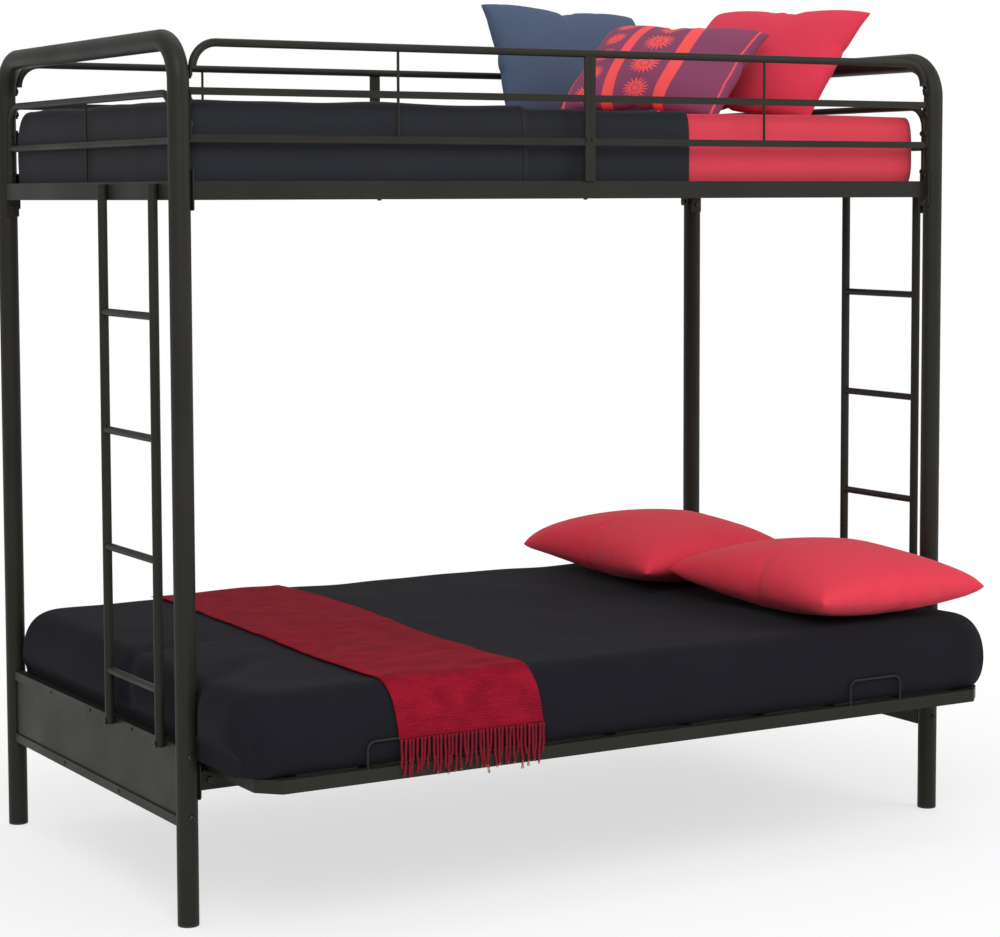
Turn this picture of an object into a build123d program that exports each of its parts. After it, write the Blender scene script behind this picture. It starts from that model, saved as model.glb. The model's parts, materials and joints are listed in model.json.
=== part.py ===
from build123d import *
import os
from math import radians, tan

# A twin bunk over a full-width convertible futon, all lengths in millimetres.
# X runs along the bed, Y from the front to the wall side, Z up from the floor.
# Every function works about the middle of the four posts, and the written parts are
# moved along Y so that the origin is the floor under the middle of the whole bed.

# Posts and end hoops
post_span_x = 1936.0
post_span_y = 994.2
post_d = 44.45
post_wall = 1.6
post_joint_z = 1641.0
hoop_top_z = 1791.3
hoop_bend_r = 85.0
hoop_spigot_l = 60.0
hoop_collar_h = 6.0
spigot_clearance = 0.15
foot_flange_h = 4.0
foot_plug_l = 25.0
foot_edge_r = 1.5
foot_clearance = 0.1

# Upper side rails and end rails, both steel angle
rail_top_z = 1509.0
rail_h = 38.0
rail_t = 2.0
rail_flange_w = 30.0
rail_plate_t = 3.0
rail_plate_w = 32.0
rail_plate_over = 23.0
rail_plate_under = 21.0
rail_bolt_inset = 10.5
seat_gap = 0.2

# Guard rails along both sides
guard_tube_d = 17.0
guard_tube_wall = 1.2
guard_top_z = 1785.0
guard_bend_r = 52.0
guard_end_z = 1732.0
guard_bar_h = 15.0
guard_bar_t = 10.0
guard_bar_wall = 1.2
guard_upper_bar_z = 1688.0
guard_lower_bar_z = 1594.0
guard_rod_d = 6.0
guard_rod_from_post = 496.0
guard_lug_t = 3.0
guard_lug_w = 16.0
guard_lug_rise = 28.0
guard_lug_drop = 19.0
guard_lug_margin = 10.0
splice_bar_w = 13.0
splice_bar_t = 6.0
splice_gap = 0.4
splice_plate_t = 2.5
splice_bolt_up = 90.0

# Guards at both ends
end_guard_d = 16.0
end_guard_wall = 1.2
end_guard_top_z = 1685.0
end_guard_mid_z = 1589.0
end_guard_bend_r = 50.0
end_guard_rod_d = 6.0
end_guard_bolt_up = (113.0, 23.0)

# Ladders
ladder_d = 20.0
ladder_wall = 1.4
ladder_out = 22.0
ladder_from_post = 84.1
ladder_w = 270.0
ladder_foot_z = 355.0
ladder_top_drop = 5.0
rung_d = 16.0
rung_wall = 1.2
rung_heights = (1236.0, 987.0, 738.0, 472.0)
ladder_foot_bolt_up = 6.0

# Panels that close the lower ends
panel_low_z = 201.0
panel_high_z = 368.0
panel_bar_w = 24.0
panel_bar_h = 20.0
panel_bar_wall = 1.4
panel_sheet_t = 1.5
panel_flange_t = 3.0
panel_high_bolt_inset = 16.0
panel_low_bolt_inset = 24.0
panel_rivet_d = 7.0
panel_rivet_h = 1.6
panel_rivet_counts = (3, 2)
panel_recess = 4.0

# Stretchers under the futon, with their corner brackets
stretcher_low_z = 270.5
stretcher_h = 38.5
stretcher_t = 2.0
stretcher_flange_w = 30.0
stretcher_inset_y = 16.6
bracket_t = 2.8
bracket_w = 32.0
bracket_low_drop = 13.5
bracket_high_rise = 26.0
bracket_leg_l = 56.0
bracket_leg_h = 30.0
bracket_round_r = 10.0
stretcher_bolt_in = 35.0
glide_w = 22.0
glide_gap = 0.3

# Futon deck: seat frame and back frame
deck_out_y = 266.4
deck_back_gap = 22.1
seat_depth = 619.5
deck_low_z = 312.5
deck_h = 27.5
deck_side_gap = 22.775
deck_wall = 2.0
deck_flange_w = 22.0
deck_chamfer = 43.0
fold_half_gap = 11.0
fold_drop = 12.0
slat_w = 30.0
slat_wall = 1.2
slat_count = 10

# Hinges between seat and back
hinge_pin_d = 8.0
hinge_bore_clearance = 0.05
hinge_ear_r = 10.0
hinge_plate_t = 4.0
hinge_plate_reach = 75.0
hinge_plate_h = 20.0
hinge_side_gap = 0.3
hinge_head_d = 13.0
hinge_head_h = 3.0

# Rollers of the seat and the channels that they run in
roller_d = 22.0
roller_w = 13.0
roller_gap = 0.3
roller_z = 324.0
axle_d = 8.0
axle_clearance = 0.05
axle_head_d = 13.0
axle_head_h = 2.0
channel_wall = 1.5
channel_reach = 21.0
channel_end_gap = 5.0
roller_setback = 101.0
roller_spacing = 200.0
channel_rivet_count = 5
channel_rivet_inset = 30.0

# Wire loops that keep the futon mattress on the deck
wire_d = 5.0
wire_rise = 55.0
wire_bend_r = 18.0
wire_half_w = 71.0
wire_left_in = 302.0
wire_right_in = 329.0
wire_inset = 3.5

# Futon mattress, folded at the hinge line
futon_side_over = 17.0
futon_front_in = 8.5
futon_rear_over = 3.0
futon_top_z = 505.0
futon_corner_r = 78.0
soft_gap = 0.3
fold_angle = 75.0
fold_margin = 1.0

# Throw laid over the futon
throw_w = 340.0
throw_in_x = 478.0
throw_t = 7.0
throw_hem_z = 400.0
throw_bend_r = 38.0
throw_rear_inset = 42.0
throw_fold_depth = 2.4
throw_fold_count = 4

# Pillows: length, height and thickness of each, and how far its middle is in from
# the mattress's right end and from its front or rear edge
seat_pillow_size = (610.0, 470.0, 140.0)
back_pillow_size = (590.0, 470.0, 130.0)
blue_pillow_size = (460.0, 335.0, 110.0)
patterned_pillow_size = (420.0, 360.0, 96.0)
red_pillow_size = (470.0, 365.0, 100.0)
seat_pillow_in = (252.0, 307.0)
back_pillow_in = (300.0, 306.0)
blue_pillow_in = (484.0, 202.0)
patterned_pillow_in = (593.0, 318.0)
red_pillow_in = (301.0, 351.0)

# Bunk mattress and its two coverlets
bunk_end_over = 3.225
bunk_side_gap = 33.1
bunk_top_z = 1661.0
bunk_corner_r = 34.0
coverlet_t = 3.0
inner_coverlet_in = 663.0
outer_coverlet_in = 1091.0

# Slats of the bunk
bunk_slat_w = 28.0
bunk_slat_h = 16.0
bunk_slat_count = 11
bunk_slat_end_in = 95.775
bunk_slats_screwed = (2, 5)

# Fasteners
bolt_d = 8.0
bolt_head_d = 13.0
bolt_head_h = 4.0
bolt_socket_d = 5.0
bolt_socket_depth = 2.0
bolt_hole_clearance = 0.2
bolt_grip = 9.0
small_bolt_d = 5.0
small_head_d = 9.0
small_head_h = 2.6
small_socket_d = 3.0
small_grip = 5.0
overrun = 1.0

# Sizes that follow from those above
half_x = post_span_x / 2
half_y = post_span_y / 2
post_r = post_d / 2
post_bore_r = post_r - post_wall
post_inner_x = half_x - post_r
post_inner_y = half_y - post_r
rail_low_z = rail_top_z - rail_h
bunk_slat_top_z = rail_low_z + rail_t + bunk_slat_h
guard_rod_x = half_x - guard_rod_from_post
ladder_r = ladder_d / 2
ladder_x = half_x + ladder_out
ladder_front_y = -(half_y - ladder_from_post)
ladder_rear_y = ladder_front_y + ladder_w
end_rail_out_x = ladder_x - ladder_r - seat_gap
end_guard_leg_y = post_inner_y - seat_gap - end_guard_d / 2
deck_half_x = post_inner_x - deck_side_gap
deck_front_y = -(half_y + deck_out_y)
deck_back_y = half_y - deck_back_gap
fold_y = deck_front_y + seat_depth
deck_top_z = deck_low_z + deck_h
fold_z = deck_top_z - fold_drop
stretcher_top_z = stretcher_low_z + stretcher_h
stretcher_y = half_y - stretcher_inset_y
futon_low_z = deck_top_z + soft_gap
futon_half_x = deck_half_x + futon_side_over
futon_front_y = deck_front_y + futon_front_in
futon_rear_y = deck_back_y + futon_rear_over
bunk_half_x = post_inner_x + bunk_end_over
bunk_half_y = half_y - bunk_side_gap
bunk_slat_pitch = 2 * (post_inner_x - bunk_slat_end_in) / (bunk_slat_count - 1)
throw_mid_x = -(futon_half_x - throw_in_x)
channel_web_x = end_rail_out_x - panel_bar_w
throw_front_y = futon_front_y - soft_gap - throw_t
bed_front_y = min(deck_front_y, throw_front_y - throw_fold_depth)
bed_rear_y = half_y + post_r + bolt_head_h
depth_shift = -(bed_front_y + bed_rear_y) / 2
ends = (-1, 1)


def block(x_range, y_range, z_range):
    """A box between two values on each axis, in either order."""
    lengths = [abs(high - low) for low, high in (x_range, y_range, z_range)]
    middle = [(high + low) / 2 for low, high in (x_range, y_range, z_range)]
    return Pos(*middle) * Box(*lengths)


def rod(start, end, diameter):
    """A round bar from one point to another."""
    reach = Vector(*end) - Vector(*start)
    return extrude(Plane(origin=start, z_dir=reach) * Circle(diameter / 2), amount=reach.length)


def pipe(start, end, diameter, wall):
    """A straight round tube, open at both ends."""
    return rod(start, end, diameter) - rod(start, end, diameter - 2 * wall)


def bent_pipe(points, bend_r, diameter, wall):
    """A round tube along straight runs with the same bend at every corner."""
    path = FilletPolyline(*points, radius=bend_r)
    ring = Circle(diameter / 2) - Circle(diameter / 2 - wall)
    return sweep(Plane(origin=path @ 0, z_dir=path % 0) * ring, path=path)


def box_tube(x_range, y_range, z_range, wall, along):
    """A rectangular tube, open at both ends along the named axis."""
    ranges = {"X": x_range, "Y": y_range, "Z": z_range}
    inner = {}
    for name, (low, high) in ranges.items():
        inset = -overrun if name == along else wall
        inner[name] = (min(low, high) + inset, max(low, high) - inset)
    return block(x_range, y_range, z_range) - block(inner["X"], inner["Y"], inner["Z"])


def grouped(pieces):
    """Several solids kept apart in one part."""
    solids = []
    for piece in pieces:
        solids += piece.solids()
    return Compound(children=solids)


def bolt(place, big=True, grip=bolt_grip):
    """A button-headed bolt: the head stands out along the direction, the shank runs in."""
    point, direction = place
    head_d, head_h = (bolt_head_d, bolt_head_h) if big else (small_head_d, small_head_h)
    shank_d = bolt_d if big else small_bolt_d
    socket_d = bolt_socket_d if big else small_socket_d
    head = extrude(Circle(head_d / 2), amount=head_h)
    head = fillet(head.edges().group_by(Axis.Z)[-1], head_h / 2)
    socket = Pos(0, 0, head_h) * extrude(RegularPolygon(socket_d / 2, 6), amount=-bolt_socket_depth)
    shank = extrude(Circle(shank_d / 2), amount=-grip)
    return Plane(origin=point, z_dir=direction).location * (head - socket + shank)


def bolt_holes(places, big=True, grip=bolt_grip):
    """The clearance holes of those bolts, through whatever they pass."""
    hole_d = (bolt_d if big else small_bolt_d) + 2 * bolt_hole_clearance
    cutters = []
    for point, direction in places:
        inward = Vector(*direction) * -(grip + overrun)
        cutters.append(rod(point, tuple(Vector(*point) + inward), hole_d))
    return grouped(cutters)


# Where the bolts go: the point under each head, and the way that the head faces

def rail_bolt_places():
    """Two bolts through each end plate of a side rail, along the bed."""
    x = post_inner_x - seat_gap - rail_plate_t
    heights = (rail_top_z + rail_plate_over - rail_bolt_inset,
               rail_low_z - rail_plate_under + rail_bolt_inset)
    return [((sx * x, sy * half_y, z), (-sx, 0, 0)) for sx in ends for sy in ends for z in heights]


def end_rail_bolt_places():
    """Two bolts through each end plate of an end rail, across the bed."""
    y = post_inner_y - seat_gap - rail_plate_t
    heights = (rail_top_z - rail_h / 2, rail_low_z - rail_h / 2)
    return [((sx * half_x, sy * y, z), (0, -sy, 0)) for sx in ends for sy in ends for z in heights]


def guard_bolt_places():
    """Three bolts where each guard half meets its post."""
    x = post_inner_x - seat_gap - guard_lug_t
    heights = (guard_end_z - guard_lug_margin, guard_upper_bar_z - guard_lug_drop,
               guard_lower_bar_z + guard_lug_rise)
    return [((sx * x, sy * half_y, z), (-sx, 0, 0)) for sx in ends for sy in ends for z in heights]


def end_guard_bolt_places():
    """Two bolts through each leg of an end guard into its post."""
    y = end_guard_leg_y - end_guard_d / 2
    return [((sx * half_x, sy * y, rail_top_z + up), (0, -sy, 0))
            for sx in ends for sy in ends for up in end_guard_bolt_up]


def panel_bolt_places():
    """Two bolts through each post into the flange of the end panel."""
    heights = (panel_high_z - panel_high_bolt_inset, panel_low_z + panel_low_bolt_inset)
    return [((sx * half_x, sy * (half_y + post_r), z), (0, sy, 0))
            for sx in ends for sy in ends for z in heights]


def bracket_bolt_places():
    """One bolt through each stretcher bracket into its post."""
    x = post_inner_x - seat_gap - bracket_t
    z = stretcher_top_z + bracket_high_rise / 2
    return [((sx * x, sy * half_y, z), (-sx, 0, 0)) for sx in ends for sy in ends]


def stretcher_bolt_places():
    """One bolt through each end of a stretcher into its bracket."""
    z = stretcher_low_z + stretcher_h / 2 + stretcher_t
    y = stretcher_y + stretcher_t
    return [((sx * (post_inner_x - stretcher_bolt_in), sy * y, z), (0, sy, 0)) for sx in ends for sy in ends]


def ladder_bolt_places():
    """Bolts at the top and foot of each ladder stile."""
    places = []
    for sx in ends:
        for y in (ladder_front_y, ladder_rear_y):
            inside = sx * (end_rail_out_x - rail_t)
            places.append(((inside, y, rail_top_z - rail_h / 2), (-sx, 0, 0)))
            places.append(((sx * (ladder_x + ladder_r), y, ladder_foot_z + ladder_foot_bolt_up), (sx, 0, 0)))
    return places


def splice_bolt_places():
    """Bolts that tie both guard halves and the side rail to the splice plate."""
    places = []
    for sy in ends:
        for sx in ends:
            x = sx * (splice_gap + splice_bar_w) / 2
            face_y = sy * (half_y + splice_bar_t)
            places.append(((x, face_y, rail_top_z + splice_bolt_up), (0, sy, 0)))
    return places


def bunk_slat_x(index):
    """The middle of one slat of the bunk, counted from the left end."""
    return bunk_slat_pitch * (index - (bunk_slat_count - 1) / 2)


def slat_screw_places():
    """Small screws from below that hold the slats to the rail flanges."""
    y = half_y - rail_flange_w / 2
    xs = [bunk_slat_x(index) for index in bunk_slats_screwed]
    return [((x, sy * y, rail_low_z), (0, 0, -1)) for x in xs for sy in ends]


def channel_rivet_places():
    """Rivets through the panel sheet that carry the guide channels."""
    reach = post_inner_y - panel_flange_t - channel_end_gap - channel_rivet_inset
    step = 2 * reach / (channel_rivet_count - 1)
    x = channel_web_x + seat_gap + panel_sheet_t
    return [((sx * x, -reach + step * index, roller_z), (sx, 0, 0))
            for sx in ends for index in range(channel_rivet_count)]


panel_bolt_grip = post_d + seat_gap + panel_flange_t + bolt_head_h
ladder_foot_grip = ladder_d + seat_gap + panel_bar_wall + bolt_head_h
ladder_top_grip = rail_t + seat_gap + ladder_r
channel_rivet_grip = panel_sheet_t + seat_gap + channel_wall


# Frame

def post(sx, sy):
    """One corner post, drilled for every bolt that meets it."""
    body = pipe((sx * half_x, sy * half_y, foot_flange_h), (sx * half_x, sy * half_y, post_joint_z),
                post_d, post_wall)
    near = block((sx * (half_x - post_d), sx * (half_x + post_d)),
                 (sy * (half_y - post_d), sy * (half_y + post_d)), (0, post_joint_z + overrun))
    places = rail_bolt_places() + end_rail_bolt_places() + guard_bolt_places()
    places += end_guard_bolt_places() + bracket_bolt_places()
    mine = [place for place in places if place[0][0] * sx > 0 and place[0][1] * sy > 0]
    through = [place for place in panel_bolt_places() if place[0][0] * sx > 0 and place[0][1] * sy > 0]
    body -= bolt_holes(mine, grip=bolt_grip + end_guard_d)
    return (body - bolt_holes(through, grip=panel_bolt_grip)) & near


def end_hoop(sx):
    """The bent tube that joins the tops of two posts, with reduced ends that plug into them."""
    x = sx * half_x
    points = [(x, -half_y, post_joint_z), (x, -half_y, hoop_top_z), (x, half_y, hoop_top_z),
              (x, half_y, post_joint_z)]
    body = bent_pipe(points, hoop_bend_r, post_d, post_wall)
    spigot_d = 2 * (post_bore_r - spigot_clearance)
    for sy in ends:
        y = sy * half_y
        spigot = pipe((x, y, post_joint_z - hoop_spigot_l), (x, y, post_joint_z + hoop_collar_h),
                      spigot_d, post_wall)
        collar = pipe((x, y, post_joint_z), (x, y, post_joint_z + hoop_collar_h), post_d, 2 * post_wall)
        body = body + spigot + collar
    places = [place for place in guard_bolt_places() + end_guard_bolt_places() if place[0][0] * sx > 0]
    return body - bolt_holes(places, grip=bolt_grip + end_guard_d)


def foot_caps():
    """A moulded cap in the bottom of each post."""
    caps = []
    for sx in ends:
        for sy in ends:
            flange = extrude(Circle(post_r), amount=foot_flange_h)
            flange = fillet(flange.edges().group_by(Axis.Z)[0], foot_edge_r)
            plug_r = post_bore_r - foot_clearance
            plug = Pos(0, 0, foot_flange_h) * extrude(
                Circle(plug_r) - Circle(plug_r - 2 * post_wall), amount=foot_plug_l)
            caps.append(Pos(sx * half_x, sy * half_y, 0) * (flange + plug))
    return grouped(caps)


def side_rail(sy):
    """An upper side rail: steel angle with a bolted plate at each end."""
    reach = post_inner_x - seat_gap
    face = block((-reach, reach), (sy * half_y, sy * (half_y - rail_t)), (rail_low_z, rail_top_z))
    flange = block((-reach, reach), (sy * half_y, sy * (half_y - rail_flange_w)),
                   (rail_low_z, rail_low_z + rail_t))
    body = face + flange
    for sx in ends:
        outline = Plane.YZ * RectangleRounded(
            rail_plate_w, rail_h + rail_plate_over + rail_plate_under, rail_bolt_inset / 2)
        middle_z = (rail_top_z + rail_plate_over + rail_low_z - rail_plate_under) / 2
        plate = Pos(sx * reach, sy * half_y, middle_z) * extrude(outline, amount=-sx * rail_plate_t)
        body = body + plate
    screws = bolt_holes(slat_screw_places(), big=False, grip=rail_t + small_grip)
    return body - bolt_holes(rail_bolt_places()) - screws


def end_rail(sx):
    """An upper end rail between two posts, outside the mattress, with plates that reach down."""
    reach = post_inner_y - seat_gap
    out = end_rail_out_x
    face = block((sx * (out - rail_t), sx * out), (-reach, reach), (rail_low_z, rail_top_z))
    flange = block((sx * (out - rail_flange_w), sx * out), (-reach, reach),
                   (rail_low_z, rail_low_z + rail_t))
    body = face + flange
    for sy in ends:
        body = body + block((sx * (out - rail_flange_w), sx * out),
                            (sy * (reach - rail_plate_t), sy * reach), (rail_low_z - rail_h, rail_top_z))
    tops = [place for place in ladder_bolt_places() if place[1][0] * place[0][0] < 0]
    return body - bolt_holes(end_rail_bolt_places()) - bolt_holes(tops, grip=ladder_top_grip)


def guard_bar(sx, sy, bar_z, lug_end):
    """One flat bar of a guard half, with the lug that bolts it to the post."""
    y = sy * half_y
    reach = sx * (post_inner_x - seat_gap)
    bar = box_tube((sx * splice_gap / 2, reach), (y - guard_bar_t / 2, y + guard_bar_t / 2),
                   (bar_z - guard_bar_h / 2, bar_z + guard_bar_h / 2), guard_bar_wall, "X")
    lug = block((reach - sx * guard_lug_t, reach), (y - guard_lug_w / 2, y + guard_lug_w / 2),
                (bar_z, lug_end))
    return bar + lug


def guard_half(sx, sy):
    """Half of a side guard, welded from a bent top tube, an upright, two bars and a thin rod."""
    y = sy * half_y
    edge = sx * splice_gap / 2
    post_side = sx * (post_inner_x - seat_gap - guard_tube_d / 2)
    points = [(edge, y, guard_top_z), (post_side, y, guard_top_z), (post_side, y, guard_end_z)]
    tube = bent_pipe(points, guard_bend_r, guard_tube_d, guard_tube_wall)
    reach = sx * (post_inner_x - seat_gap)
    tube = tube + block((reach - sx * guard_lug_t, reach), (y - guard_lug_w / 2, y + guard_lug_w / 2),
                        (guard_end_z - 2 * guard_lug_margin, guard_end_z + guard_lug_t))
    tube_run = rod((edge - sx * overrun, y, guard_top_z), (post_side, y, guard_top_z), guard_tube_d)
    upright = block((edge, edge + sx * splice_bar_w), (y, y + sy * splice_bar_t),
                    (rail_top_z + seat_gap, guard_top_z))
    bars = [guard_bar(sx, sy, guard_upper_bar_z, guard_upper_bar_z - guard_lug_drop - guard_lug_margin),
            guard_bar(sx, sy, guard_lower_bar_z, guard_lower_bar_z + guard_lug_rise + guard_lug_margin)]
    x = sx * guard_rod_x
    low = rod((x, y, guard_lower_bar_z + guard_bar_h / 2), (x, y, guard_upper_bar_z - guard_bar_h / 2),
              guard_rod_d)
    high = rod((x, y, guard_upper_bar_z + guard_bar_h / 2), (x, y, guard_top_z), guard_rod_d)
    pieces = [tube, upright - tube_run, bars[0] - upright, bars[1] - upright, low, high - tube_run]
    holes = bolt_holes(guard_bolt_places())
    small = bolt_holes(splice_bolt_places(), big=False, grip=splice_bar_t + guard_bar_t)
    return grouped([piece - holes - small for piece in pieces])


def splice_plates():
    """The plate behind each pair of uprights, which runs down behind the side rail."""
    plates = []
    for sy in ends:
        y = sy * (half_y - rail_t - seat_gap)
        face = sy * (half_y - seat_gap)
        half_w = splice_gap / 2 + splice_bar_w
        lower = block((-half_w, half_w), (y, y - sy * splice_plate_t),
                      (bunk_slat_top_z + seat_gap, rail_top_z + seat_gap + splice_plate_t))
        step = block((-half_w, half_w), (face, y - sy * splice_plate_t),
                     (rail_top_z + seat_gap, rail_top_z + seat_gap + splice_plate_t))
        low_end = guard_lower_bar_z - guard_bar_h / 2 - seat_gap
        upper = block((-half_w, half_w), (face, face - sy * splice_plate_t),
                      (rail_top_z + seat_gap, low_end))
        plates.append(lower + step + upper)
    return grouped(plates)


def end_guard(sx):
    """The low guard inside an end hoop: a hooped tube with a middle bar and a thin upright rod."""
    x = sx * half_x
    leg = end_guard_leg_y
    points = [(x, -leg, rail_top_z + seat_gap), (x, -leg, end_guard_top_z), (x, leg, end_guard_top_z),
              (x, leg, rail_top_z + seat_gap)]
    body = bent_pipe(points, end_guard_bend_r, end_guard_d, end_guard_wall)
    inner = leg - end_guard_d / 2 + end_guard_wall
    body = body + pipe((x, -inner, end_guard_mid_z), (x, inner, end_guard_mid_z),
                       end_guard_d, end_guard_wall)
    top = end_guard_top_z - end_guard_d / 2 + end_guard_wall
    body = body + rod((x, 0, rail_low_z + rail_t + seat_gap), (x, 0, top), end_guard_rod_d)
    return body - bolt_holes(end_guard_bolt_places(), grip=bolt_grip + end_guard_d)


def ladder(sx):
    """A side ladder at one end: two stiles and four rungs."""
    x = sx * ladder_x
    stiles = [pipe((x, y, ladder_foot_z), (x, y, rail_top_z - ladder_top_drop), ladder_d, ladder_wall)
              for y in (ladder_front_y, ladder_rear_y)]
    body = stiles[0] + stiles[1]
    inner = ladder_r - ladder_wall
    for z in rung_heights:
        body = body + pipe((x, ladder_front_y + inner, z), (x, ladder_rear_y - inner, z), rung_d, rung_wall)
    tops = [place for place in ladder_bolt_places() if place[1][0] * place[0][0] < 0]
    feet = [place for place in ladder_bolt_places() if place[1][0] * place[0][0] > 0]
    return body - bolt_holes(tops, grip=ladder_top_grip) - bolt_holes(feet, grip=ladder_foot_grip)


def end_panel(sx):
    """A closed lower end: top and bottom bars, an inner and an outer sheet, a flange on each post."""
    out = end_rail_out_x
    inner = channel_web_x + seat_gap
    reach = post_inner_y - seat_gap
    span_y = (-(reach - panel_flange_t), reach - panel_flange_t)
    body = box_tube((sx * inner, sx * out), span_y, (panel_high_z - panel_bar_h, panel_high_z),
                    panel_bar_wall, "Y")
    body = body + box_tube((sx * inner, sx * out), span_y,
                           (panel_low_z, panel_low_z + panel_bar_h), panel_bar_wall, "Y")
    body = body + block((sx * inner, sx * (inner + panel_sheet_t)), span_y, (panel_low_z, panel_high_z))
    face = out - panel_recess
    body = body + block((sx * (face - panel_sheet_t), sx * face), span_y,
                        (panel_low_z + panel_bar_h - panel_bar_wall,
                         panel_high_z - panel_bar_h + panel_bar_wall))
    for sy in ends:
        body = body + block((sx * inner, sx * out), (sy * (reach - panel_flange_t), sy * reach),
                            (panel_low_z, panel_high_z))
    for count, z in zip(panel_rivet_counts, (panel_high_z - panel_bar_h / 2, panel_low_z + panel_bar_h / 2)):
        step = 2 * reach / (count + 1)
        for index in range(count):
            y = -reach + step * (index + 1)
            body = body + rod((sx * (out - panel_bar_wall), y, z), (sx * (out + panel_rivet_h), y, z),
                              panel_rivet_d)
    feet = [place for place in ladder_bolt_places() if place[1][0] * place[0][0] > 0]
    body -= bolt_holes(feet, grip=ladder_foot_grip)
    body -= bolt_holes(channel_rivet_places(), big=False, grip=channel_rivet_grip)
    return body - bolt_holes(panel_bolt_places(), grip=panel_bolt_grip)


def stretcher(sy):
    """A long steel angle under the futon, between two posts."""
    reach = post_inner_x - seat_gap - bracket_t - seat_gap
    y = sy * (stretcher_y + stretcher_t)
    face = block((-reach, reach), (y, y - sy * stretcher_t), (stretcher_low_z, stretcher_top_z))
    flange = block((-reach, reach), (y, y - sy * stretcher_flange_w),
                   (stretcher_top_z - stretcher_t, stretcher_top_z))
    return face + flange - bolt_holes(stretcher_bolt_places(), grip=stretcher_t + bracket_t + overrun)


def stretcher_brackets():
    """Four angled brackets, each with a rounded plate on the post and a leg behind the stretcher."""
    brackets = []
    for sx in ends:
        for sy in ends:
            reach = sx * (post_inner_x - seat_gap)
            low, high = stretcher_low_z - bracket_low_drop, stretcher_top_z + bracket_high_rise
            outline = Plane.YZ * RectangleRounded(bracket_w, high - low, bracket_round_r)
            plate = Pos(reach, sy * half_y, (low + high) / 2) * extrude(outline, amount=-sx * bracket_t)
            behind = sy * (stretcher_y - seat_gap)
            leg = block((reach, reach - sx * bracket_leg_l), (behind, behind - sy * bracket_t),
                        (stretcher_top_z - stretcher_t - seat_gap - bracket_leg_h,
                         stretcher_top_z - stretcher_t - seat_gap))
            link = block((reach, reach - sx * bracket_t), (sy * half_y, behind - sy * bracket_t),
                         (stretcher_top_z - stretcher_t - seat_gap - bracket_leg_h,
                          stretcher_top_z - stretcher_t - seat_gap))
            brackets.append(plate + leg + link)
    cutters = bolt_holes(stretcher_bolt_places(), grip=stretcher_t + seat_gap + bracket_t + bolt_grip)
    return grouped([bracket - bolt_holes(bracket_bolt_places()) - cutters for bracket in brackets])


def glide_pads():
    """Nylon pads on the stretchers that carry the side bars of the deck."""
    pads = []
    x = deck_half_x - deck_flange_w / 2
    for sx in ends:
        for sy in ends:
            y = sy * (stretcher_y + stretcher_t - stretcher_flange_w / 2)
            pads.append(block((sx * x - glide_w / 2, sx * x + glide_w / 2),
                              (y - glide_w / 2, y + glide_w / 2),
                              (stretcher_top_z, deck_low_z - glide_gap)))
    return grouped(pads)


def guide_channel(sx):
    """The channel along one end that the seat's rollers run in, screwed to the end panel."""
    reach = post_inner_y - seat_gap - panel_flange_t - channel_end_gap
    out = channel_web_x
    half_h = roller_d / 2 + roller_gap + channel_wall
    outer = block((sx * (out - channel_reach), sx * out), (-reach, reach),
                  (roller_z - half_h, roller_z + half_h))
    inside = half_h - channel_wall
    hollow = block((sx * (out - channel_reach - overrun), sx * (out - channel_wall)),
                   (-reach - overrun, reach + overrun), (roller_z - inside, roller_z + inside))
    return outer - hollow - bolt_holes(channel_rivet_places(), big=False, grip=channel_rivet_grip)


def bunk_slats():
    """Flat tubes across the bunk, resting on the rail flanges."""
    reach = half_y - rail_t - seat_gap
    low = rail_low_z + rail_t
    slats = []
    for index in range(bunk_slat_count):
        x = bunk_slat_x(index)
        slats.append(box_tube((x - bunk_slat_w / 2, x + bunk_slat_w / 2), (-reach, reach),
                              (low, bunk_slat_top_z), slat_wall, "Y"))
    return grouped(slats)


# Futon deck

def deck_ring(outline):
    """A frame of inward-facing channel round an outline drawn at the deck's lower face."""
    flange = offset(outline, amount=-deck_flange_w, kind=Kind.INTERSECTION)
    pocket = offset(outline, amount=-deck_wall, kind=Kind.INTERSECTION)
    ring = extrude(outline, amount=deck_h) - extrude(flange, amount=deck_h)
    groove = Pos(0, 0, deck_wall) * extrude(pocket, amount=deck_h - 2 * deck_wall)
    return ring - groove


def seat_outline():
    """The seat frame's outline, with both front corners cut off."""
    rear = fold_y - fold_half_gap
    points = [(-deck_half_x, rear), (-deck_half_x, deck_front_y + deck_chamfer),
              (-deck_half_x + deck_chamfer, deck_front_y), (deck_half_x - deck_chamfer, deck_front_y),
              (deck_half_x, deck_front_y + deck_chamfer), (deck_half_x, rear)]
    return Pos(0, 0, deck_low_z) * make_face(Polyline(*points, close=True))


def back_outline():
    """The back frame's outline, with both far corners cut off."""
    front = fold_y + fold_half_gap
    points = [(-deck_half_x, front), (-deck_half_x, deck_back_y - deck_chamfer),
              (-deck_half_x + deck_chamfer, deck_back_y), (deck_half_x - deck_chamfer, deck_back_y),
              (deck_half_x, deck_back_y - deck_chamfer), (deck_half_x, front)]
    return Pos(0, 0, deck_low_z) * make_face(Polyline(*points, close=True))


def roller_ys():
    """Where the front and rear rollers of the seat sit."""
    rear = fold_y - roller_setback
    return (rear - roller_spacing, rear)


def seat_frame():
    """The seat half of the deck, bored for its roller axles."""
    body = deck_ring(seat_outline())
    for sx in ends:
        for y in roller_ys():
            body -= rod((sx * (deck_half_x - deck_wall - overrun), y, roller_z),
                        (sx * (deck_half_x + overrun), y, roller_z), axle_d + 2 * bolt_hole_clearance)
        body -= hinge_bore(sx)
    return body


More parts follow.
